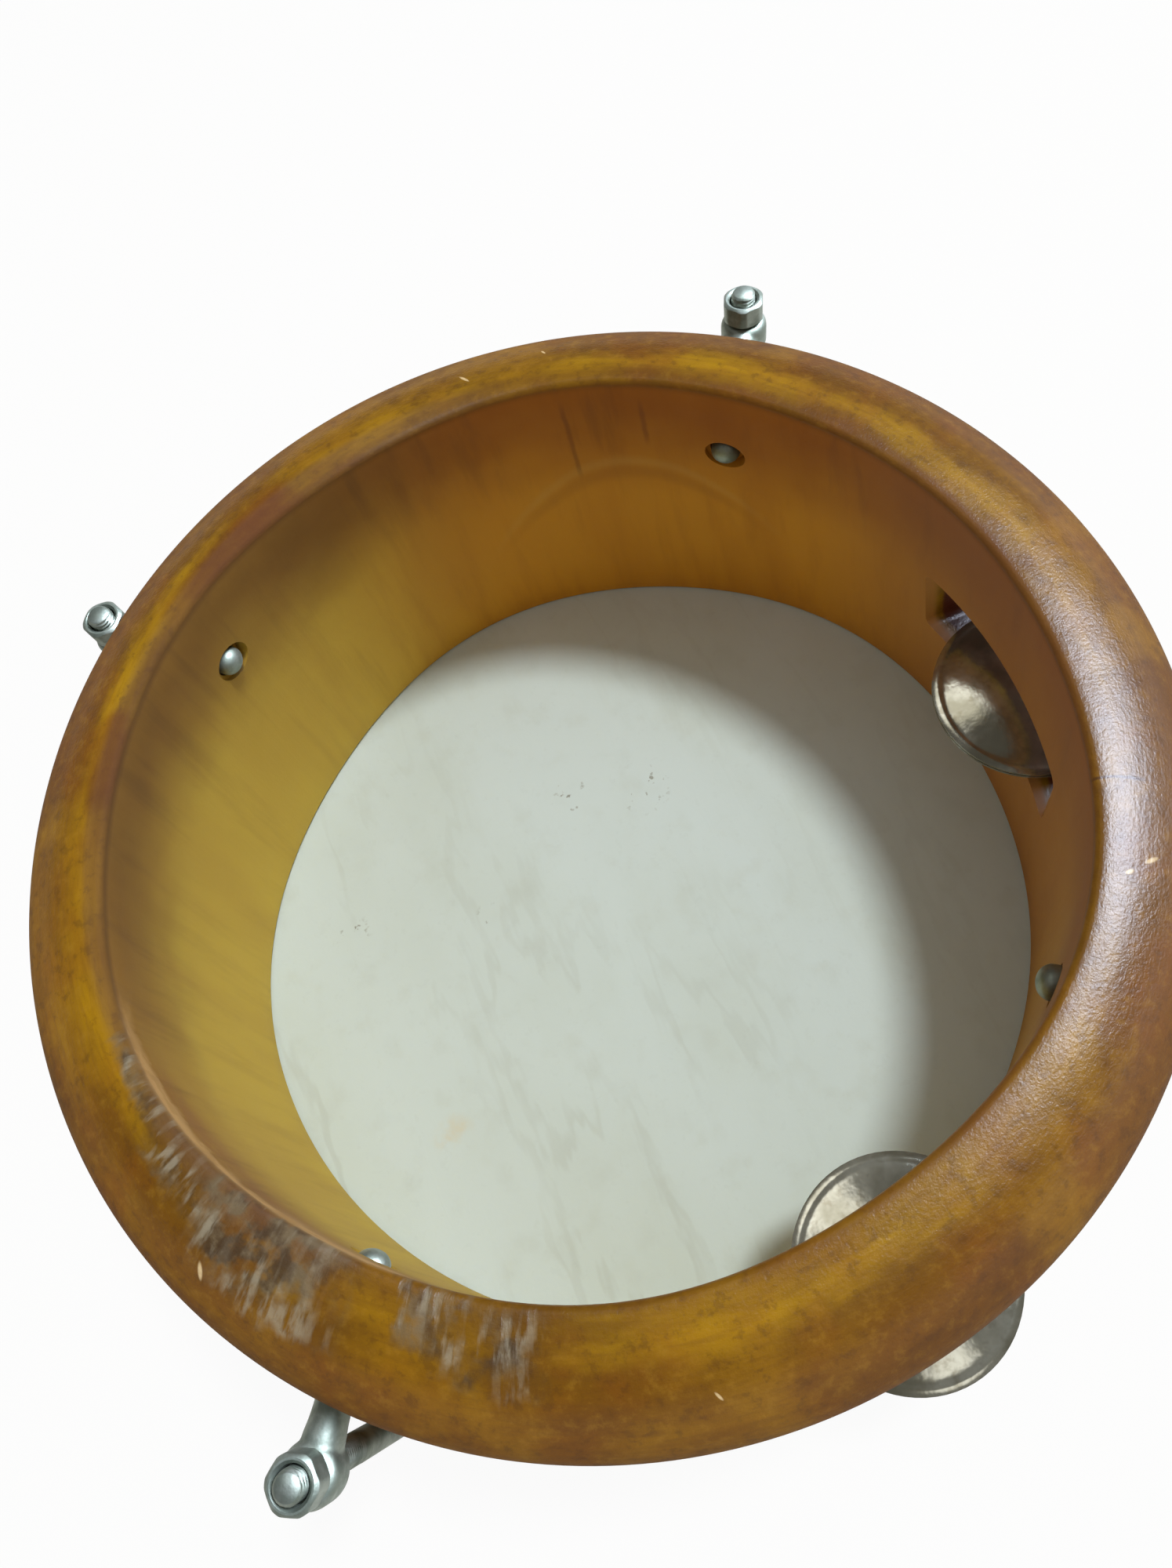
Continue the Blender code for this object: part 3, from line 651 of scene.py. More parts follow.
    tone = (scraped * 0.50).math("MINIMUM", 1.0).mix(tone, SCRAPE_GREY)

    # A thin crack and a few pale nicks
    crack = (sweep - RIM_CRACK_ANGLE + (blots - 0.5) * 0.04).math("ABSOLUTE")
    crack = (1.0 - crack.between(0.001, 0.005)) * band(radius, 0.0810, 0.0885, 0.001) * crown
    tone = (crack * 0.8).mix(tone, SPLIT_BROWN)
    nicked = 0.0
    for angle, out, length, width in NICKS:
        aside = (sweep - math.radians(angle)).math("WRAP", math.pi, -math.pi) * out
        away = radius - out
        tilted = (away + aside * 0.7) / length
        crosswise = (aside - away * 0.7) / width
        hit = 1.0 - (tilted * tilted + crosswise * crosswise).between(0.1, 1.1)
        nicked = hit + nicked
    tone = (nicked * crown * (0.4 + fine * 0.6)).mix(tone, NICK_PALE)

    tone.feed(shader, "Base Color")
    dull = 0.26 + 0.10 * blots + 0.40 * inside + 0.35 * chafed
    dull = dull + brink * near(150.0, 85.0) * 0.6 + radius.between(0.0900, 0.0965) * 0.45
    dull.math("MINIMUM", 0.9).feed(shader, "Roughness")
    shader.inputs["IOR"].default_value = VARNISH_IOR
    cells = noise(1800.0, 4.0, rough=0.6)
    hairs = round_rim(60.0, 2400.0, 0.5, 2.0)
    relief = (cells * 0.29 + hairs * 0.16) * (1.0 - 0.7 * inside) + upright * 0.3 * inside
    raise_surface(shader, relief + scraped * -0.5 + noise(60.0, 2.0), 0.8, WOOD_RELIEF)
    return made


stained_wood = wood_finish()
crown_centre = (RIM_INNER_RADIUS + RIM_EDGE_RADIUS, CROWN_BASE_Z)
rim_edge = (crown_centre[0], CROWN_TOP_Z - RIM_EDGE_RADIUS)
shoulder = (FOOT_OUTER_RADIUS - BEARING_EDGE_RADIUS, SHOULDER_Z)
foot = (FOOT_INNER_RADIUS + FOOT_CORNER, SHELL_FOOT_Z + FOOT_CORNER)
drop = foot[1] - rim_edge[1]
wall_heights = [rim_edge[1] + drop * i / WALL_ROWS for i in range(1, WALL_ROWS)]
profile = [
    *arc(foot, (FOOT_CORNER, FOOT_CORNER), 180, 270, 3),
    *arc(shoulder, (BEARING_EDGE_RADIUS, BEARING_EDGE_RADIUS), 270, 360, 6),
    *arc(crown_centre, (RIM_OUTER_RADIUS - crown_centre[0], CROWN_TOP_Z - CROWN_BASE_Z), 0, 90, 28),
    *arc(rim_edge, (RIM_EDGE_RADIUS, RIM_EDGE_RADIUS), 90, 180, 4)[1:],
    *[(inner_wall_radius(z), 0.0, z) for z in wall_heights],
]
shell = turned("shell", profile, SHELL_STEPS, stained_wood)
for point in shell.data.vertices:
    x, y, z = point.co
    radius = math.hypot(x, y)
    from_wall = max(0.0, min(1.0, (radius - inner_wall_radius(z)) / WAVES_FADE_WITHIN))
    share = max(0.0, min(1.0, (RIM_Z - z) / (RIM_Z - SHELL_FOOT_Z)))
    sweep = math.atan2(y, x)
    shift = off_round(RIM_WAVES, sweep) * (1 - share) + off_round(FOOT_WAVES, sweep) * share
    grown = 1 + shift * (1 - from_wall * from_wall * (3 - 2 * from_wall)) / radius
    point.co.x, point.co.y = x * grown, y * grown

cutters = []
for angle in JINGLE_ANGLES:
    built = bmesh.new()
    bmesh.ops.create_cube(built, size=1.0)
    bmesh.ops.scale(built, vec=(SLOT_CUTTER_LENGTH, SLOT_WIDTH, SLOT_HEIGHT), verts=built.verts)
    through = [e for e in built.edges if abs(e.verts[0].co.x - e.verts[1].co.x) > SLOT_HEIGHT]
    bmesh.ops.bevel(
        built, geom=through, offset=SLOT_CORNER_RADIUS, segments=5, profile=0.5, affect="EDGES"
    )
    slot_cutter = from_bmesh(built, "slot_cutter", stained_wood)
    cutters.append(stand(slot_cutter, angle, SLOT_CUTTER_RADIUS, SLOT_MIDDLE_Z))
    bore = [
        (0.0, 0.0, -CUT_OVERRUN),
        (PIN_HOLE_RADIUS, 0.0, -CUT_OVERRUN),
        (PIN_HOLE_RADIUS, 0.0, PIN_HOLE_DEPTH),
        (0.0, 0.0, PIN_HOLE_DEPTH + PIN_HOLE_RADIUS / 2),
    ]
    pin_hole = turned("pin_hole_cutter", bore, PIN_HOLE_STEPS, stained_wood)
    cutters.append(stand(pin_hole, angle, PIN_FOOT_RADIUS, SHELL_FOOT_Z, PIN_LEAN))
for angle, eye_radius in zip(LUG_ANGLES, EYE_RADII):
    wall_face = eye_to_wall(eye_radius)
    bore = [
        (0.0, 0.0, wall_face - CUT_OVERRUN),
        (COUNTERBORE_RADIUS, 0.0, wall_face - CUT_OVERRUN),
        (COUNTERBORE_RADIUS, 0.0, wall_face + COUNTERBORE_DEPTH),
        (BOLT_HOLE_RADIUS, 0.0, wall_face + COUNTERBORE_DEPTH),
        (BOLT_HOLE_RADIUS, 0.0, 0.0),
        (0.0, 0.0, 0.0),
    ]
    bolt_hole = turned("bolt_hole_cutter", bore, BOLT_HOLE_STEPS, stained_wood)
    cutters.append(stand(bolt_hole, angle, eye_radius, EYE_Z, math.pi / 2, BOLT_SKEW))
combine(shell, cutters)
wooden_shell = settle(shell, "wooden_shell")
for cutter in cutters:
    bpy.data.objects.remove(cutter)
dress(wooden_shell, "drum", ["wood_shell"])

# Drumhead
# One sheet of rawhide, soaked, lapped round a wire hoop and pulled down over the bearing edge. It
# dried pale and matte, with faint veins, dark specks and a yellow stain.
SKIN_THICKNESS = 0.0009
SKIN_GAP = 0.0003
FLESH_RING_RADIUS = 0.100573
FLESH_RING_Z = 0.0211
FLESH_WIRE_RADIUS = 0.0020
LAP_END_Z = 0.0193
HEAD_STEPS = 192
FLAT_ROWS = 12
HIDE_COOL = seen(198, 210, 210)
HIDE_WARM = seen(193, 204, 200)
HIDE_MOTTLE = seen(184, 192, 185)
HIDE_VEIN = seen(170, 176, 168)
HIDE_STAIN = seen(206, 186, 140)
HIDE_SPECK = seen(112, 108, 92)
HIDE_GLOSS = 0.12
HIDE_RELIEF = 0.0003
# Groups of specks: place on the head and size
SPECKS = (
    (0.0155, 0.0266, 0.0080), (-0.0010, 0.0326, 0.0060), (-0.0632, 0.0241, 0.0050),
    (-0.0308, 0.0132, 0.0040),
)


def rawhide_finish():
    """Scraped hide: pale and cloudy, with drawn-out veins, pores and stains."""
    made, shader, spot, noise = finish_named("rawhide")
    x, y, _ = spot.parts()
    clouds = noise(20.0, 5.0, (1.0, 0.6, 1.0), (0.2, 0.1, 0.0))
    mottle = noise(110.0, 4.0)
    pores = noise(1100.0, 2.0)
    drawn = noise(55.0, 4.0, (1.0, 0.22, 1.0), (0.1, 0.4, 0.0), (0.0, 0.0, math.radians(38.0)))

    def near(px, py, size):
        """1 at a place on the head, fading to 0 at size from it."""
        off_x, off_y = x - px, y - py
        return 1.0 - (off_x * off_x + off_y * off_y).math("SQRT").between(size * 0.3, size)

    tint = clouds.between(0.35, 0.70).mix(HIDE_COOL, HIDE_WARM)
    tint = (mottle.between(0.50, 0.75) * 0.30).mix(tint, HIDE_MOTTLE)
    veins = 1.0 - (drawn - 0.5).math("ABSOLUTE").between(0.004, 0.030)
    lower_left = 1.0 - (x + y * 0.8).between(-0.060, 0.020)
    shown = veins * (0.10 + 0.22 * lower_left) * clouds.between(0.40, 0.60)
    tint = shown.mix(tint, HIDE_VEIN)
    stained = near(-0.0563, -0.0306, 0.0060) * mottle.between(0.36, 0.58)
    tint = (stained * 0.55).mix(tint, HIDE_STAIN)
    speckled = noise(520.0, 2.0, shift=(0.3, 0.7, 0.0)).between(0.62, 0.70)
    where = 0.04
    for across, along, size in SPECKS:
        where = near(across, along, size) + where
    tint = (speckled * where * 0.7).math("MINIMUM", 1.0).mix(tint, HIDE_SPECK)
    tint.feed(shader, "Base Color")
    (0.58 + 0.2 * mottle).feed(shader, "Roughness")
    shader.inputs["Specular IOR Level"].default_value = HIDE_GLOSS
    relief = clouds * 1.6 + mottle * 0.4 + pores * 0.12 + veins * 0.05
    raise_surface(shader, relief, 0.5, HIDE_RELIEF)
    return made


rawhide = rawhide_finish()
outer_turn = BEARING_EDGE_RADIUS + SKIN_GAP + SKIN_THICKNESS
inner_turn = BEARING_EDGE_RADIUS + SKIN_GAP
lap_inner = FLESH_WIRE_RADIUS + SKIN_GAP
lap_outer = lap_inner + SKIN_THICKNESS
lap = (FLESH_RING_RADIUS, FLESH_RING_Z)
flat_rows = [shoulder[0] * i / FLAT_ROWS for i in range(FLAT_ROWS)]
profile = [
    *[(r, 0.0, 0.0) for r in flat_rows],
    *arc(shoulder, (outer_turn, outer_turn), 270, 360, 8),
    *arc(lap, (lap_inner, lap_inner), 180, 0, 12),
    (lap[0] + lap_inner, 0.0, LAP_END_Z),
    (lap[0] + lap_outer, 0.0, LAP_END_Z),
    *arc(lap, (lap_outer, lap_outer), 0, 180, 12),
    *arc(shoulder, (inner_turn, inner_turn), 360, 270, 8),
    *[(r, 0.0, SKIN_THICKNESS) for r in reversed(flat_rows)],
]
drumhead = turned("drumhead", profile, HEAD_STEPS, rawhide, closed=False)
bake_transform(drumhead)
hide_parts("drumhead_skin")

# Hoops
# The flesh hoop is a ring of drawn iron wire inside the lap. The counter hoop is rolled steel
# angle, dull with zinc plate, that bears on the lap and hangs in the hooks.
HOOP_WALL = 0.0018
HOOP_CENTRE_RADIUS = 0.104773
HOOP_BOTTOM_Z = 0.0080
FLANGE_Z = 0.0170
FLANGE_INNER_RADIUS = 0.0985
HOOP_STEPS = 192
WIRE_STEPS = 160
ZINC_LIGHT = seen(160, 166, 154)
ZINC_DARK = seen(128, 135, 122)
ZINC_ROUGHNESS = 0.41
ZINC_PITTING = 0.5
IRON_LIGHT = seen(140, 136, 130)
IRON_DARK = seen(96, 88, 80)
IRON_ROUGHNESS = 0.40
IRON_PITTING = 0.4
METAL_RELIEF = 0.00018


def metal_finish(name, light, dark, rough, pitting):
    """Plated or drawn metal: cloudy grey with fine pits, darker and rougher where rubbed."""
    made, shader, _, noise = finish_named(name)
    clouds = noise(240.0, 4.0)
    grain = noise(2600.0, 2.0)
    rubbed = noise(700.0, 3.0, shift=(0.5, 0.2, 0.1))
    tint = clouds.between(0.36, 0.66).mix(light, dark)
    tint = (rubbed.between(0.55, 0.72) * 0.4).mix(tint, dark)
    tint.feed(shader, "Base Color")
    (clouds * 0.14 + rubbed * 0.10 + rough).feed(shader, "Roughness")
    shader.inputs["Metallic"].default_value = 1.0
    raise_surface(shader, clouds + grain * 0.25 + rubbed * 0.4, pitting, METAL_RELIEF)
    return made


zinc = metal_finish("zinc_plated_steel", ZINC_LIGHT, ZINC_DARK, ZINC_ROUGHNESS, ZINC_PITTING)
iron = metal_finish("iron_wire", IRON_LIGHT, IRON_DARK, IRON_ROUGHNESS, IRON_PITTING)
half = HOOP_WALL / 2
corner = HOOP_WALL / 6
brim = FLANGE_INNER_RADIUS + corner
profile = [
    (HOOP_CENTRE_RADIUS - half, 0.0, FLANGE_Z),
    *arc((HOOP_CENTRE_RADIUS, HOOP_BOTTOM_Z), (half, half), 180, 360, 8),
    *arc((HOOP_CENTRE_RADIUS, FLANGE_Z + half), (half, half), 0, 90, 6),
    *arc((brim, FLANGE_Z + HOOP_WALL - corner), (corner, corner), 90, 180, 3),
    *arc((brim, FLANGE_Z + corner), (corner, corner), 180, 270, 3),
]
steel_counter_hoop = turned("steel_counter_hoop", profile, HOOP_STEPS, zinc)
dress(steel_counter_hoop, "tension_ring", ["counter_hoop"])
profile = arc(lap, (FLESH_WIRE_RADIUS, FLESH_WIRE_RADIUS), 0, 345, 23)
wire_flesh_hoop = turned("wire_flesh_hoop", profile, WIRE_STEPS, iron)
dress(wire_flesh_hoop, "tension_ring", ["flesh_hoop"])

# Eye bolts
# Four forged steel eye bolts, plated with zinc, driven through the wall a little off the radius.
# The shank swells into the eye, and its far end is domed and shows in a recess of the inner wall.
HOOK_BEND_RADIUS = 0.0037
BARREL_RADIUS = 0.0048
BARREL_HEIGHT = 0.0070
BARREL_ROUNDING = 0.0018
EYE_BORE_RADIUS = 0.00285
SHANK_RADIUS = 0.0030
SHANK_DOME = 0.0024
SHANK_STAND_OUT = 0.0018
NECK_LENGTH = 0.0085
# The swelling shank: shares of its radius, and of its neck's length from the eye
NECK = ((1.0, 1.0), (1.03, 0.8), (1.12, 0.55), (1.18, 0.0))
BARREL_STEPS = 48
SHANK_STEPS = 40
FORGED_GRAIN = 0.0003
FORGED_SOFTNESS = 6


def hook_lean(eye_radius):
    """Lean of a hook that is tangent to its bend round the hoop and passes through its eye."""
    out, up = eye_radius - HOOP_CENTRE_RADIUS, EYE_Z - HOOP_BOTTOM_Z
    return math.atan2(out, up) - math.asin(HOOK_BEND_RADIUS / math.hypot(out, up))


half = BARREL_HEIGHT / 2
seat = BARREL_RADIUS - BARREL_ROUNDING
rounding = (BARREL_ROUNDING, BARREL_ROUNDING)
barrel_outline = [
    (0.0, 0.0, -half),
    *arc((seat, BARREL_ROUNDING - half), rounding, 270, 360, 6),
    *arc((seat, half - BARREL_ROUNDING), rounding, 0, 90, 6),
    (0.0, 0.0, half),
]
bore_outline = [
    (0.0, 0.0, -CUT_OVERRUN),
    (EYE_BORE_RADIUS, 0.0, -CUT_OVERRUN),
    (EYE_BORE_RADIUS, 0.0, CUT_OVERRUN),
    (0.0, 0.0, CUT_OVERRUN),
]
for lug_number, (angle, eye_radius) in enumerate(zip(LUG_ANGLES, EYE_RADII), 1):
    lean = hook_lean(eye_radius)
    barrel = turned("barrel", barrel_outline, BARREL_STEPS, zinc, closed=False)
    stand(barrel, angle, eye_radius, EYE_Z, lean)
    end = eye_to_wall(eye_radius) - SHANK_STAND_OUT
    shank_outline = [
        *arc((0.0, end + SHANK_DOME), (SHANK_RADIUS, SHANK_DOME), 270, 360, 8),
        *[(SHANK_RADIUS * swell, 0.0, -NECK_LENGTH * share) for swell, share in NECK],
        (0.0, 0.0, 0.0),
    ]
    shank = turned("shank", shank_outline, SHANK_STEPS, zinc, closed=False)
    stand(shank, angle, eye_radius, EYE_Z, math.pi / 2, BOLT_SKEW)
    borer = turned("eye_borer", bore_outline, SHANK_STEPS, zinc, closed=False)
    stand(borer, angle, eye_radius, EYE_Z, lean)
    combine(barrel, [shank], "UNION")
    forged = barrel.modifiers.new("forged", "REMESH")
    forged.mode = "VOXEL"
    forged.voxel_size = FORGED_GRAIN
    forged.use_smooth_shade = True
    softened = barrel.modifiers.new("softened", "SMOOTH")
    softened.factor = 0.5
    softened.iterations = FORGED_SOFTNESS
    combine(barrel, [borer])
    forged_eye_bolt = settle(barrel, f"forged_eye_bolt_{lug_number}")
    bpy.data.objects.remove(shank)
    bpy.data.objects.remove(borer)
    forged_eye_bolt.data.materials.clear()
    forged_eye_bolt.data.materials.append(zinc)
    dress(forged_eye_bolt, "drum", [f"eye_bolt_{lug_number}"])

# Tension hooks
# Round steel rod, bent cold round the hoop's skirt at one end and threaded at the other. The rod
# goes up through its eye and ends flat, just above its nut.
ROD_RADIUS = 0.0025
ROD_END_CHAMFER = 0.0006
TIP_LENGTH = 0.0055
NUT_HEIGHT = 0.0047
NUT_SEAT = 0.0038
ROD_ABOVE_NUT = 0.0014
THREAD_LENGTH = 0.0260
THREAD_PITCH = 0.0008
THREAD_DEPTH = 0.0004
STEPS_A_THREAD = 6
PLAIN_STEPS = 10
BEND_STEPS = 28
TIP_STEPS = (0.0, 0.0003, 0.0006, 0.0018, 0.0036)
ROD_SIDES = 20


def threaded_rod_tree():
    """Sweep a round rod along a line of points, cut its thread and chamfer its ends."""
    made = bpy.data.node_groups.new("threaded_rod", "GeometryNodeTree")
    face = made.interface
    face.new_socket("Path", in_out="INPUT", socket_type="NodeSocketGeometry")
    for name in ("Radius", "Length", "Thread", "Pitch", "Depth", "Chamfer"):
        face.new_socket(name, in_out="INPUT", socket_type="NodeSocketFloat")
    face.new_socket("Sides", in_out="INPUT", socket_type="NodeSocketInt")
    face.new_socket("Finish", in_out="INPUT", socket_type="NodeSocketMaterial")
    face.new_socket("Rod", in_out="OUTPUT", socket_type="NodeSocketGeometry")
    given = made.nodes.new("NodeGroupInput")
    inputs = [Tone(given.outputs[i]) for i in range(9)]
    line, radius, length, thread, pitch, depth, chamfer, sides, finish = inputs

    def keep(geometry, kind, value):
        """Store a value on a curve's points before it is swept."""
        node = made.nodes.new("GeometryNodeCaptureAttribute")
        node.domain = "POINT"
        node.capture_items.new(kind, "Kept")
        made.links.new(geometry.socket, node.inputs[0])
        made.links.new(value.socket, node.inputs[1])
        return Tone(node.outputs[0]), Tone(node.outputs[1])

    spine = Tone.node(made, "GeometryNodeMeshToCurve", {}, {0: line})
    parameter = Tone.node(made, "GeometryNodeSplineParameter")
    spine, along = keep(spine, "FLOAT", parameter.other(1))
    spine, centre = keep(spine, "VECTOR", Tone.node(made, "GeometryNodeInputPosition"))
    sockets = {"Resolution": sides, "Radius": radius}
    ring = Tone.node(made, "GeometryNodeCurvePrimitiveCircle", {"mode": "RADIUS"}, sockets)
    ring, about = keep(ring, "FLOAT", Tone.node(made, "GeometryNodeSplineParameter"))
    sockets = {"Curve": spine, "Profile Curve": ring, "Fill Caps": True}
    swept = Tone.node(made, "GeometryNodeCurveToMesh", {}, sockets)
    wave = (along / pitch + about).math("FRACT")
    groove = 1.0 - (wave * 2.0 - 1.0).math("ABSOLUTE")
    started = ((along - (length - thread)) / pitch).math("MINIMUM", 1.0).math("MAXIMUM", 0.0)
    from_tip = (chamfer - along).math("MAXIMUM", 0.0)
    from_end = (chamfer - (length - along)).math("MAXIMUM", 0.0)
    cut = (groove * started * depth).math("MAXIMUM", from_tip.math("MAXIMUM", from_end))
    place = Tone.node(made, "GeometryNodeInputPosition")
    sockets = {0: place, 1: centre}
    outwards = Tone.node(made, "ShaderNodeVectorMath", {"operation": "SUBTRACT"}, sockets)
    sockets = {0: outwards, "Scale": 0.0 - cut / radius}
    inwards = Tone.node(made, "ShaderNodeVectorMath", {"operation": "SCALE"}, sockets)
    cut_rod = Tone.node(made, "GeometryNodeSetPosition", {}, {"Geometry": swept, "Offset": inwards})
    plain = Tone.node(made, "GeometryNodeRealizeInstances", {}, {"Geometry": cut_rod})
    coated = Tone.node(made, "GeometryNodeSetMaterial", {}, {"Geometry": plain, "Material": finish})
    Tone.node(made, "NodeGroupOutput", {}, {0: coated})
    return made


threaded_rod = threaded_rod_tree()
for lug_number, (angle, eye_radius) in enumerate(zip(LUG_ANGLES, EYE_RADII), 1):
    lean = hook_lean(eye_radius)
    top = EYE_Z + (NUT_SEAT + NUT_HEIGHT + ROD_ABOVE_NUT) * math.cos(lean)
    tip = [(-HOOK_BEND_RADIUS, 0.0, TIP_LENGTH - d) for d in TIP_STEPS]
    radii = (HOOK_BEND_RADIUS, HOOK_BEND_RADIUS)
    bend = arc((0.0, 0.0), radii, -180, -math.degrees(lean), BEND_STEPS)
    start, _, low = bend[-1]
    shank_length = (top - HOOP_BOTTOM_Z - low) / math.cos(lean)
    plain = shank_length - THREAD_LENGTH
    thread_steps = int(THREAD_LENGTH * STEPS_A_THREAD / THREAD_PITCH)
    run = [i * plain / PLAIN_STEPS for i in range(1, PLAIN_STEPS)]
    run += [plain + i * THREAD_PITCH / STEPS_A_THREAD for i in range(thread_steps)]
    run.append(shank_length)
    shank = [(start + d * math.sin(lean), 0.0, low + d * math.cos(lean)) for d in run]
    path = tip + bend + shank
    length = sum((Vector(b) - Vector(a)).length for a, b in zip(path, path[1:]))
    sizes = {
        "Radius": ROD_RADIUS, "Length": length, "Thread": THREAD_LENGTH, "Pitch": THREAD_PITCH,
        "Depth": THREAD_DEPTH, "Chamfer": ROD_END_CHAMFER, "Sides": ROD_SIDES, "Finish": zinc,
    }
    blank = shaped("hook_blank", path, threaded_rod, sizes, closed=False)
    threaded_hook = settle(blank, f"threaded_hook_{lug_number}", smooth_angle=50.0)
    stand(threaded_hook, angle, HOOP_CENTRE_RADIUS, HOOP_BOTTOM_Z)
    dress(threaded_hook, "tension_ring", [f"tension_hook_{lug_number}"])

# Tension nuts
# Pressed steel hexagon nuts, 8 mm across the flats, zinc plated and rounded by the spanner. Each
# sits on its eye at its own turn.
NUT_TURNS = tuple(math.radians(a) for a in (44.0, 12.0, 20.0, 35.0))
NUT_ACROSS_FLATS = 0.0080
NUT_BORE_RADIUS = 0.0028
NUT_MOUTH = 0.0005
NUT_FACE_RADIUS = 0.0036
NUT_SLOPE = math.tan(math.radians(32.0))
NUT_CORNER_WEAR = 0.00035
NUT_EDGE = 0.0001
NUT_EDGE_DROP = 0.00004
NUT_STEPS = 96

lugs = zip(LUG_ANGLES, EYE_RADII, NUT_TURNS)
for lug_number, (angle, eye_radius, nut_turn) in enumerate(lugs, 1):
    built = bmesh.new()
    rings = []
    for i in range(NUT_STEPS):
        turn = 2 * math.pi * i / NUT_STEPS
        from_flat = (turn + math.pi / 6) % (math.pi / 3) - math.pi / 6
        side = NUT_ACROSS_FLATS / 2 / math.cos(from_flat)
        side = min(side, NUT_ACROSS_FLATS / math.sqrt(3) - NUT_CORNER_WEAR)
        drop = (side - NUT_FACE_RADIUS) * NUT_SLOPE
        lower = [
            (NUT_BORE_RADIUS, NUT_MOUTH),
            (NUT_BORE_RADIUS + NUT_MOUTH, 0.0),
            (NUT_FACE_RADIUS, 0.0),
            (side - NUT_EDGE, drop - NUT_EDGE_DROP),
            (side, drop + NUT_EDGE),
        ]
        upper = [(r, NUT_HEIGHT - h) for r, h in reversed(lower)]
        outline = [*lower, (side, NUT_HEIGHT / 2), *upper]
        cosine, sine = math.cos(turn + nut_turn), math.sin(turn + nut_turn)
        rings.append([built.verts.new((r * cosine, r * sine, h)) for r, h in outline])
    for ring, following in zip(rings, rings[1:] + rings[:1]):
        for k in range(len(ring)):
            m = (k + 1) % len(ring)
            built.faces.new((ring[k], following[k], following[m], ring[m]))
    nut_blank = from_bmesh(built, "nut_blank", zinc)
    pressed_nut = settle(nut_blank, f"pressed_nut_{lug_number}", smooth_angle=28.0)
    lean = hook_lean(eye_radius)
    seat_radius = eye_radius + NUT_SEAT * math.sin(lean)
    stand(pressed_nut, angle, seat_radius, EYE_Z + NUT_SEAT * math.cos(lean), lean)
    dress(pressed_nut, f"nut_{lug_number}", [f"tension_nut_{lug_number}"])

# Jingle pins
# Plain drawn steel pins, plated like the bolts. Each is pushed up a blind hole from the bearing
# edge, across its slot and into the wood above.
PIN_RADIUS = 0.0013
PIN_LOW = 0.0030
PIN_HIGH = 0.065307
PIN_END = 0.0005
PIN_STEPS = 32

profile = [
    (0.0, 0.0, PIN_LOW),
    *arc((PIN_RADIUS - PIN_END, PIN_LOW + PIN_END), (PIN_END, PIN_END), 270, 360, 5),
    *arc((PIN_RADIUS - PIN_END, PIN_HIGH - PIN_END), (PIN_END, PIN_END), 0, 90, 5),
    (0.0, 0.0, PIN_HIGH),
]
for number, angle in enumerate(JINGLE_ANGLES, 1):
    drawn_pin = turned(f"drawn_pin_{number}", profile, PIN_STEPS, zinc, closed=False)
    stand(drawn_pin, angle, PIN_FOOT_RADIUS, SHELL_FOOT_Z, PIN_LEAN)
    dress(drawn_pin, "drum", [f"jingle_pin_{number}"])

# Jingles
# Discs stamped from pale sheet alloy and polished: a broad dome, a narrow flange with a pressed
# ring, and a rolled edge. They lie in pairs on their pins, the lower one with its dome down.
DISC_RADIUS = 0.0188
DISC_THICKNESS = 0.0009
DISC_HOLE_RADIUS = 0.0026
DOME_RADIUS = 0.0168
DOME_HEIGHT = 0.0038
DOME_BLEND = 0.00022
DISC_EDGE_DROOP = 0.0003
DISC_EDGE_WIDTH = 0.0012
DISC_EDGE_LINE = 0.35
RING_RADIUS = 0.0176
RING_WIDTH = 0.0005
RING_RISE = 0.00006
DISC_STEPS = 60
DISC_TURN_STEPS = 72
LOWER_DISC_Z = 0.0406
UPPER_DISC_Z = 0.0409
ALLOY_LIGHT = seen(198, 196, 180)
ALLOY_DARK = seen(150, 146, 126)
ALLOY_TARNISH = seen(132, 122, 96)
ALLOY_METALLIC = 0.86
ALLOY_RELIEF = 0.0004


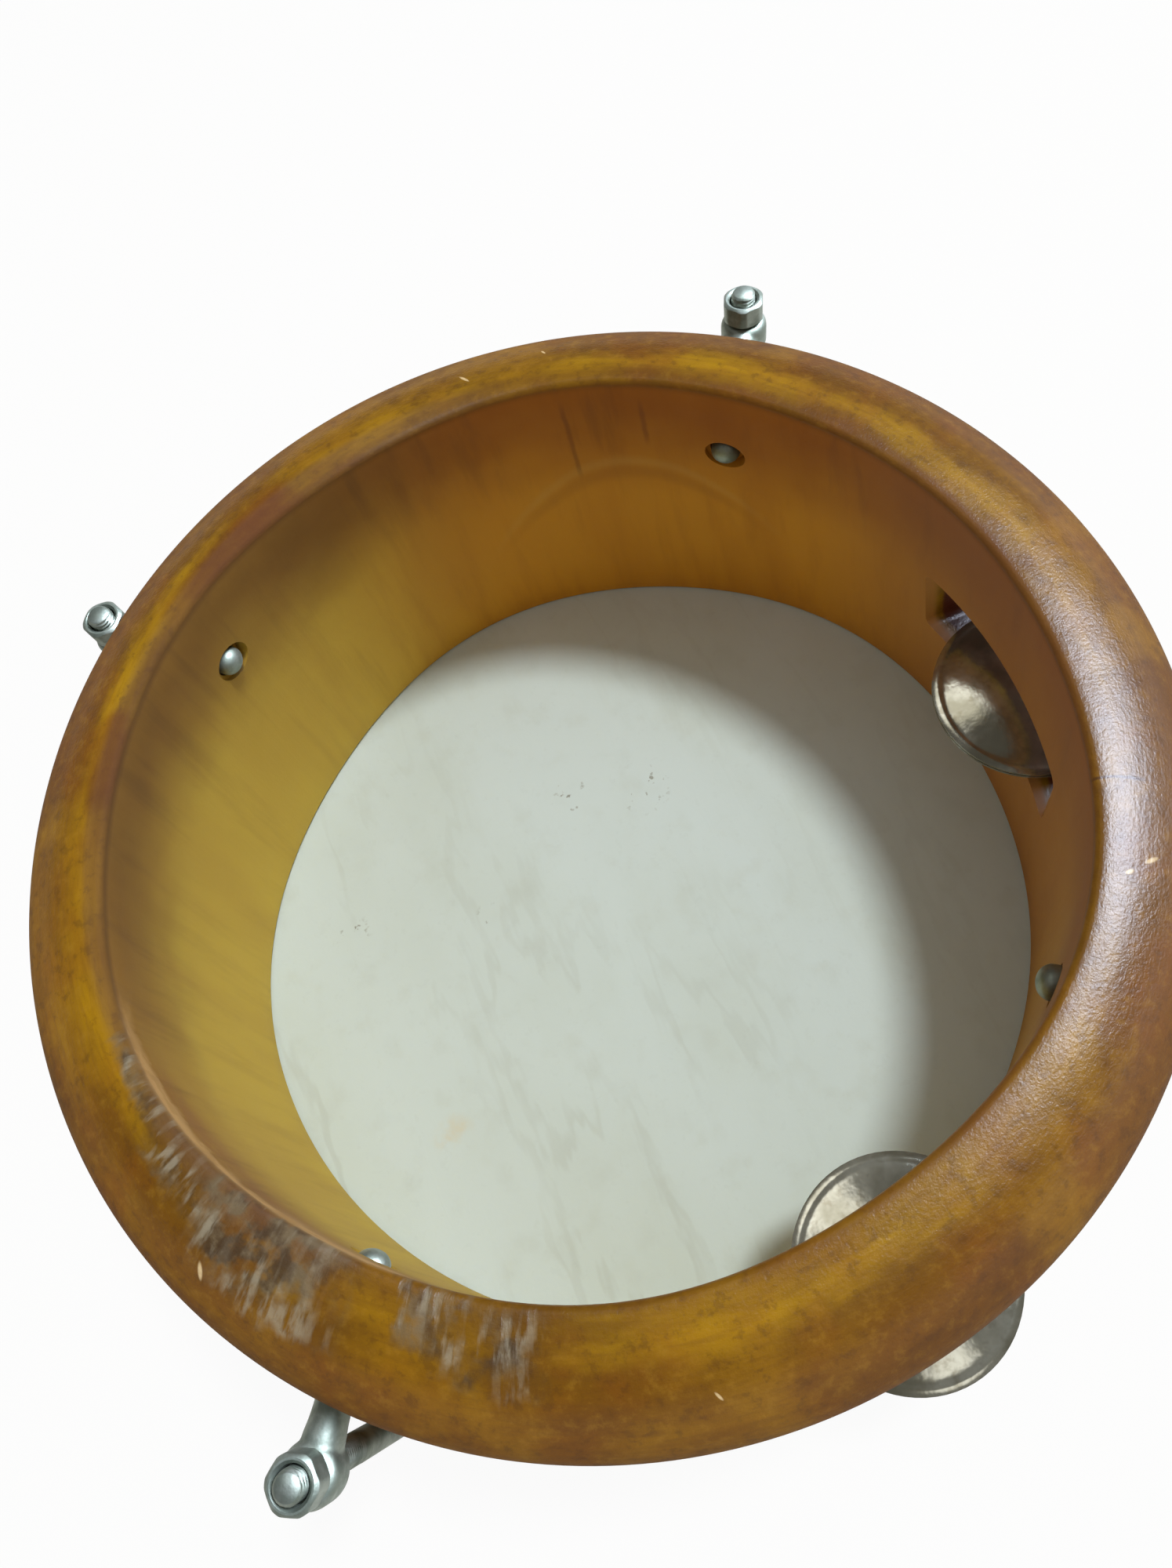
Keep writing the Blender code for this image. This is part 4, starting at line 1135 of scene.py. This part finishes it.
def jingle_finish():
    """Polished pale alloy, a little cloudy, hazed and tarnished in patches."""
    made, shader, _, noise = finish_named("jingle_alloy")
    clouds = noise(110.0, 4.0)
    haze = noise(420.0, 3.0, shift=(0.1, 0.6, 0.0))
    tint = clouds.between(0.36, 0.66).mix(ALLOY_LIGHT, ALLOY_DARK)
    tint = (haze.between(0.52, 0.70) * 0.45).mix(tint, ALLOY_TARNISH)
    tint.feed(shader, "Base Color")
    (haze * 0.12 + clouds * 0.08 + 0.05).feed(shader, "Roughness")
    shader.inputs["Metallic"].default_value = ALLOY_METALLIC
    raise_surface(shader, clouds * 1.6 + haze * 0.2, 0.22, ALLOY_RELIEF)
    return made


def disc_height(radius):
    """Height of a jingle's upper face above its rim's foot."""
    ring = math.exp(-(((radius - RING_RADIUS) / RING_WIDTH) ** 2)) * RING_RISE
    into_edge = max(0.0, (radius - DISC_RADIUS + DISC_EDGE_WIDTH) / DISC_EDGE_WIDTH)
    flange = DISC_THICKNESS + ring - DISC_EDGE_DROOP * into_edge**2
    share = (1 - (radius / DOME_RADIUS) ** 2) / (1 - (DISC_HOLE_RADIUS / DOME_RADIUS) ** 2)
    rise = (DOME_HEIGHT - DISC_THICKNESS) * share
    return flange + DOME_BLEND * math.log1p(math.exp(rise / DOME_BLEND))


jingle_alloy = jingle_finish()
disc_width = DISC_RADIUS - DISC_HOLE_RADIUS
disc_radii = [DISC_HOLE_RADIUS + disc_width * i / DISC_STEPS for i in range(DISC_STEPS + 1)]
top_face = [(r, 0.0, disc_height(r)) for r in disc_radii]
foot_face = [(r, 0.0, max(0.0, disc_height(r) - DISC_THICKNESS)) for r in disc_radii[:-1]]
disc_edge = [(DISC_RADIUS, 0.0, DISC_THICKNESS * DISC_EDGE_LINE), (disc_radii[-1], 0.0, 0.0)]
disc_profile = top_face + disc_edge + foot_face[::-1]
for number, angle in enumerate(JINGLE_ANGLES, 1):
    for level, base, face_down in (("lower", LOWER_DISC_Z, True), ("upper", UPPER_DISC_Z, False)):
        body = f"jingle_{number}_{level}"
        stamped_jingle = turned(
            f"stamped_{body}", disc_profile, DISC_TURN_STEPS, jingle_alloy, smooth_angle=50.0
        )
        if face_down:
            stamped_jingle.data.transform(Matrix.Rotation(math.pi, 4, "X"))
        radius = PIN_FOOT_RADIUS + (base - SHELL_FOOT_Z) * math.tan(PIN_LEAN)
        stand(stamped_jingle, angle, radius, base, PIN_LEAN)
        dress(stamped_jingle, body, [body])
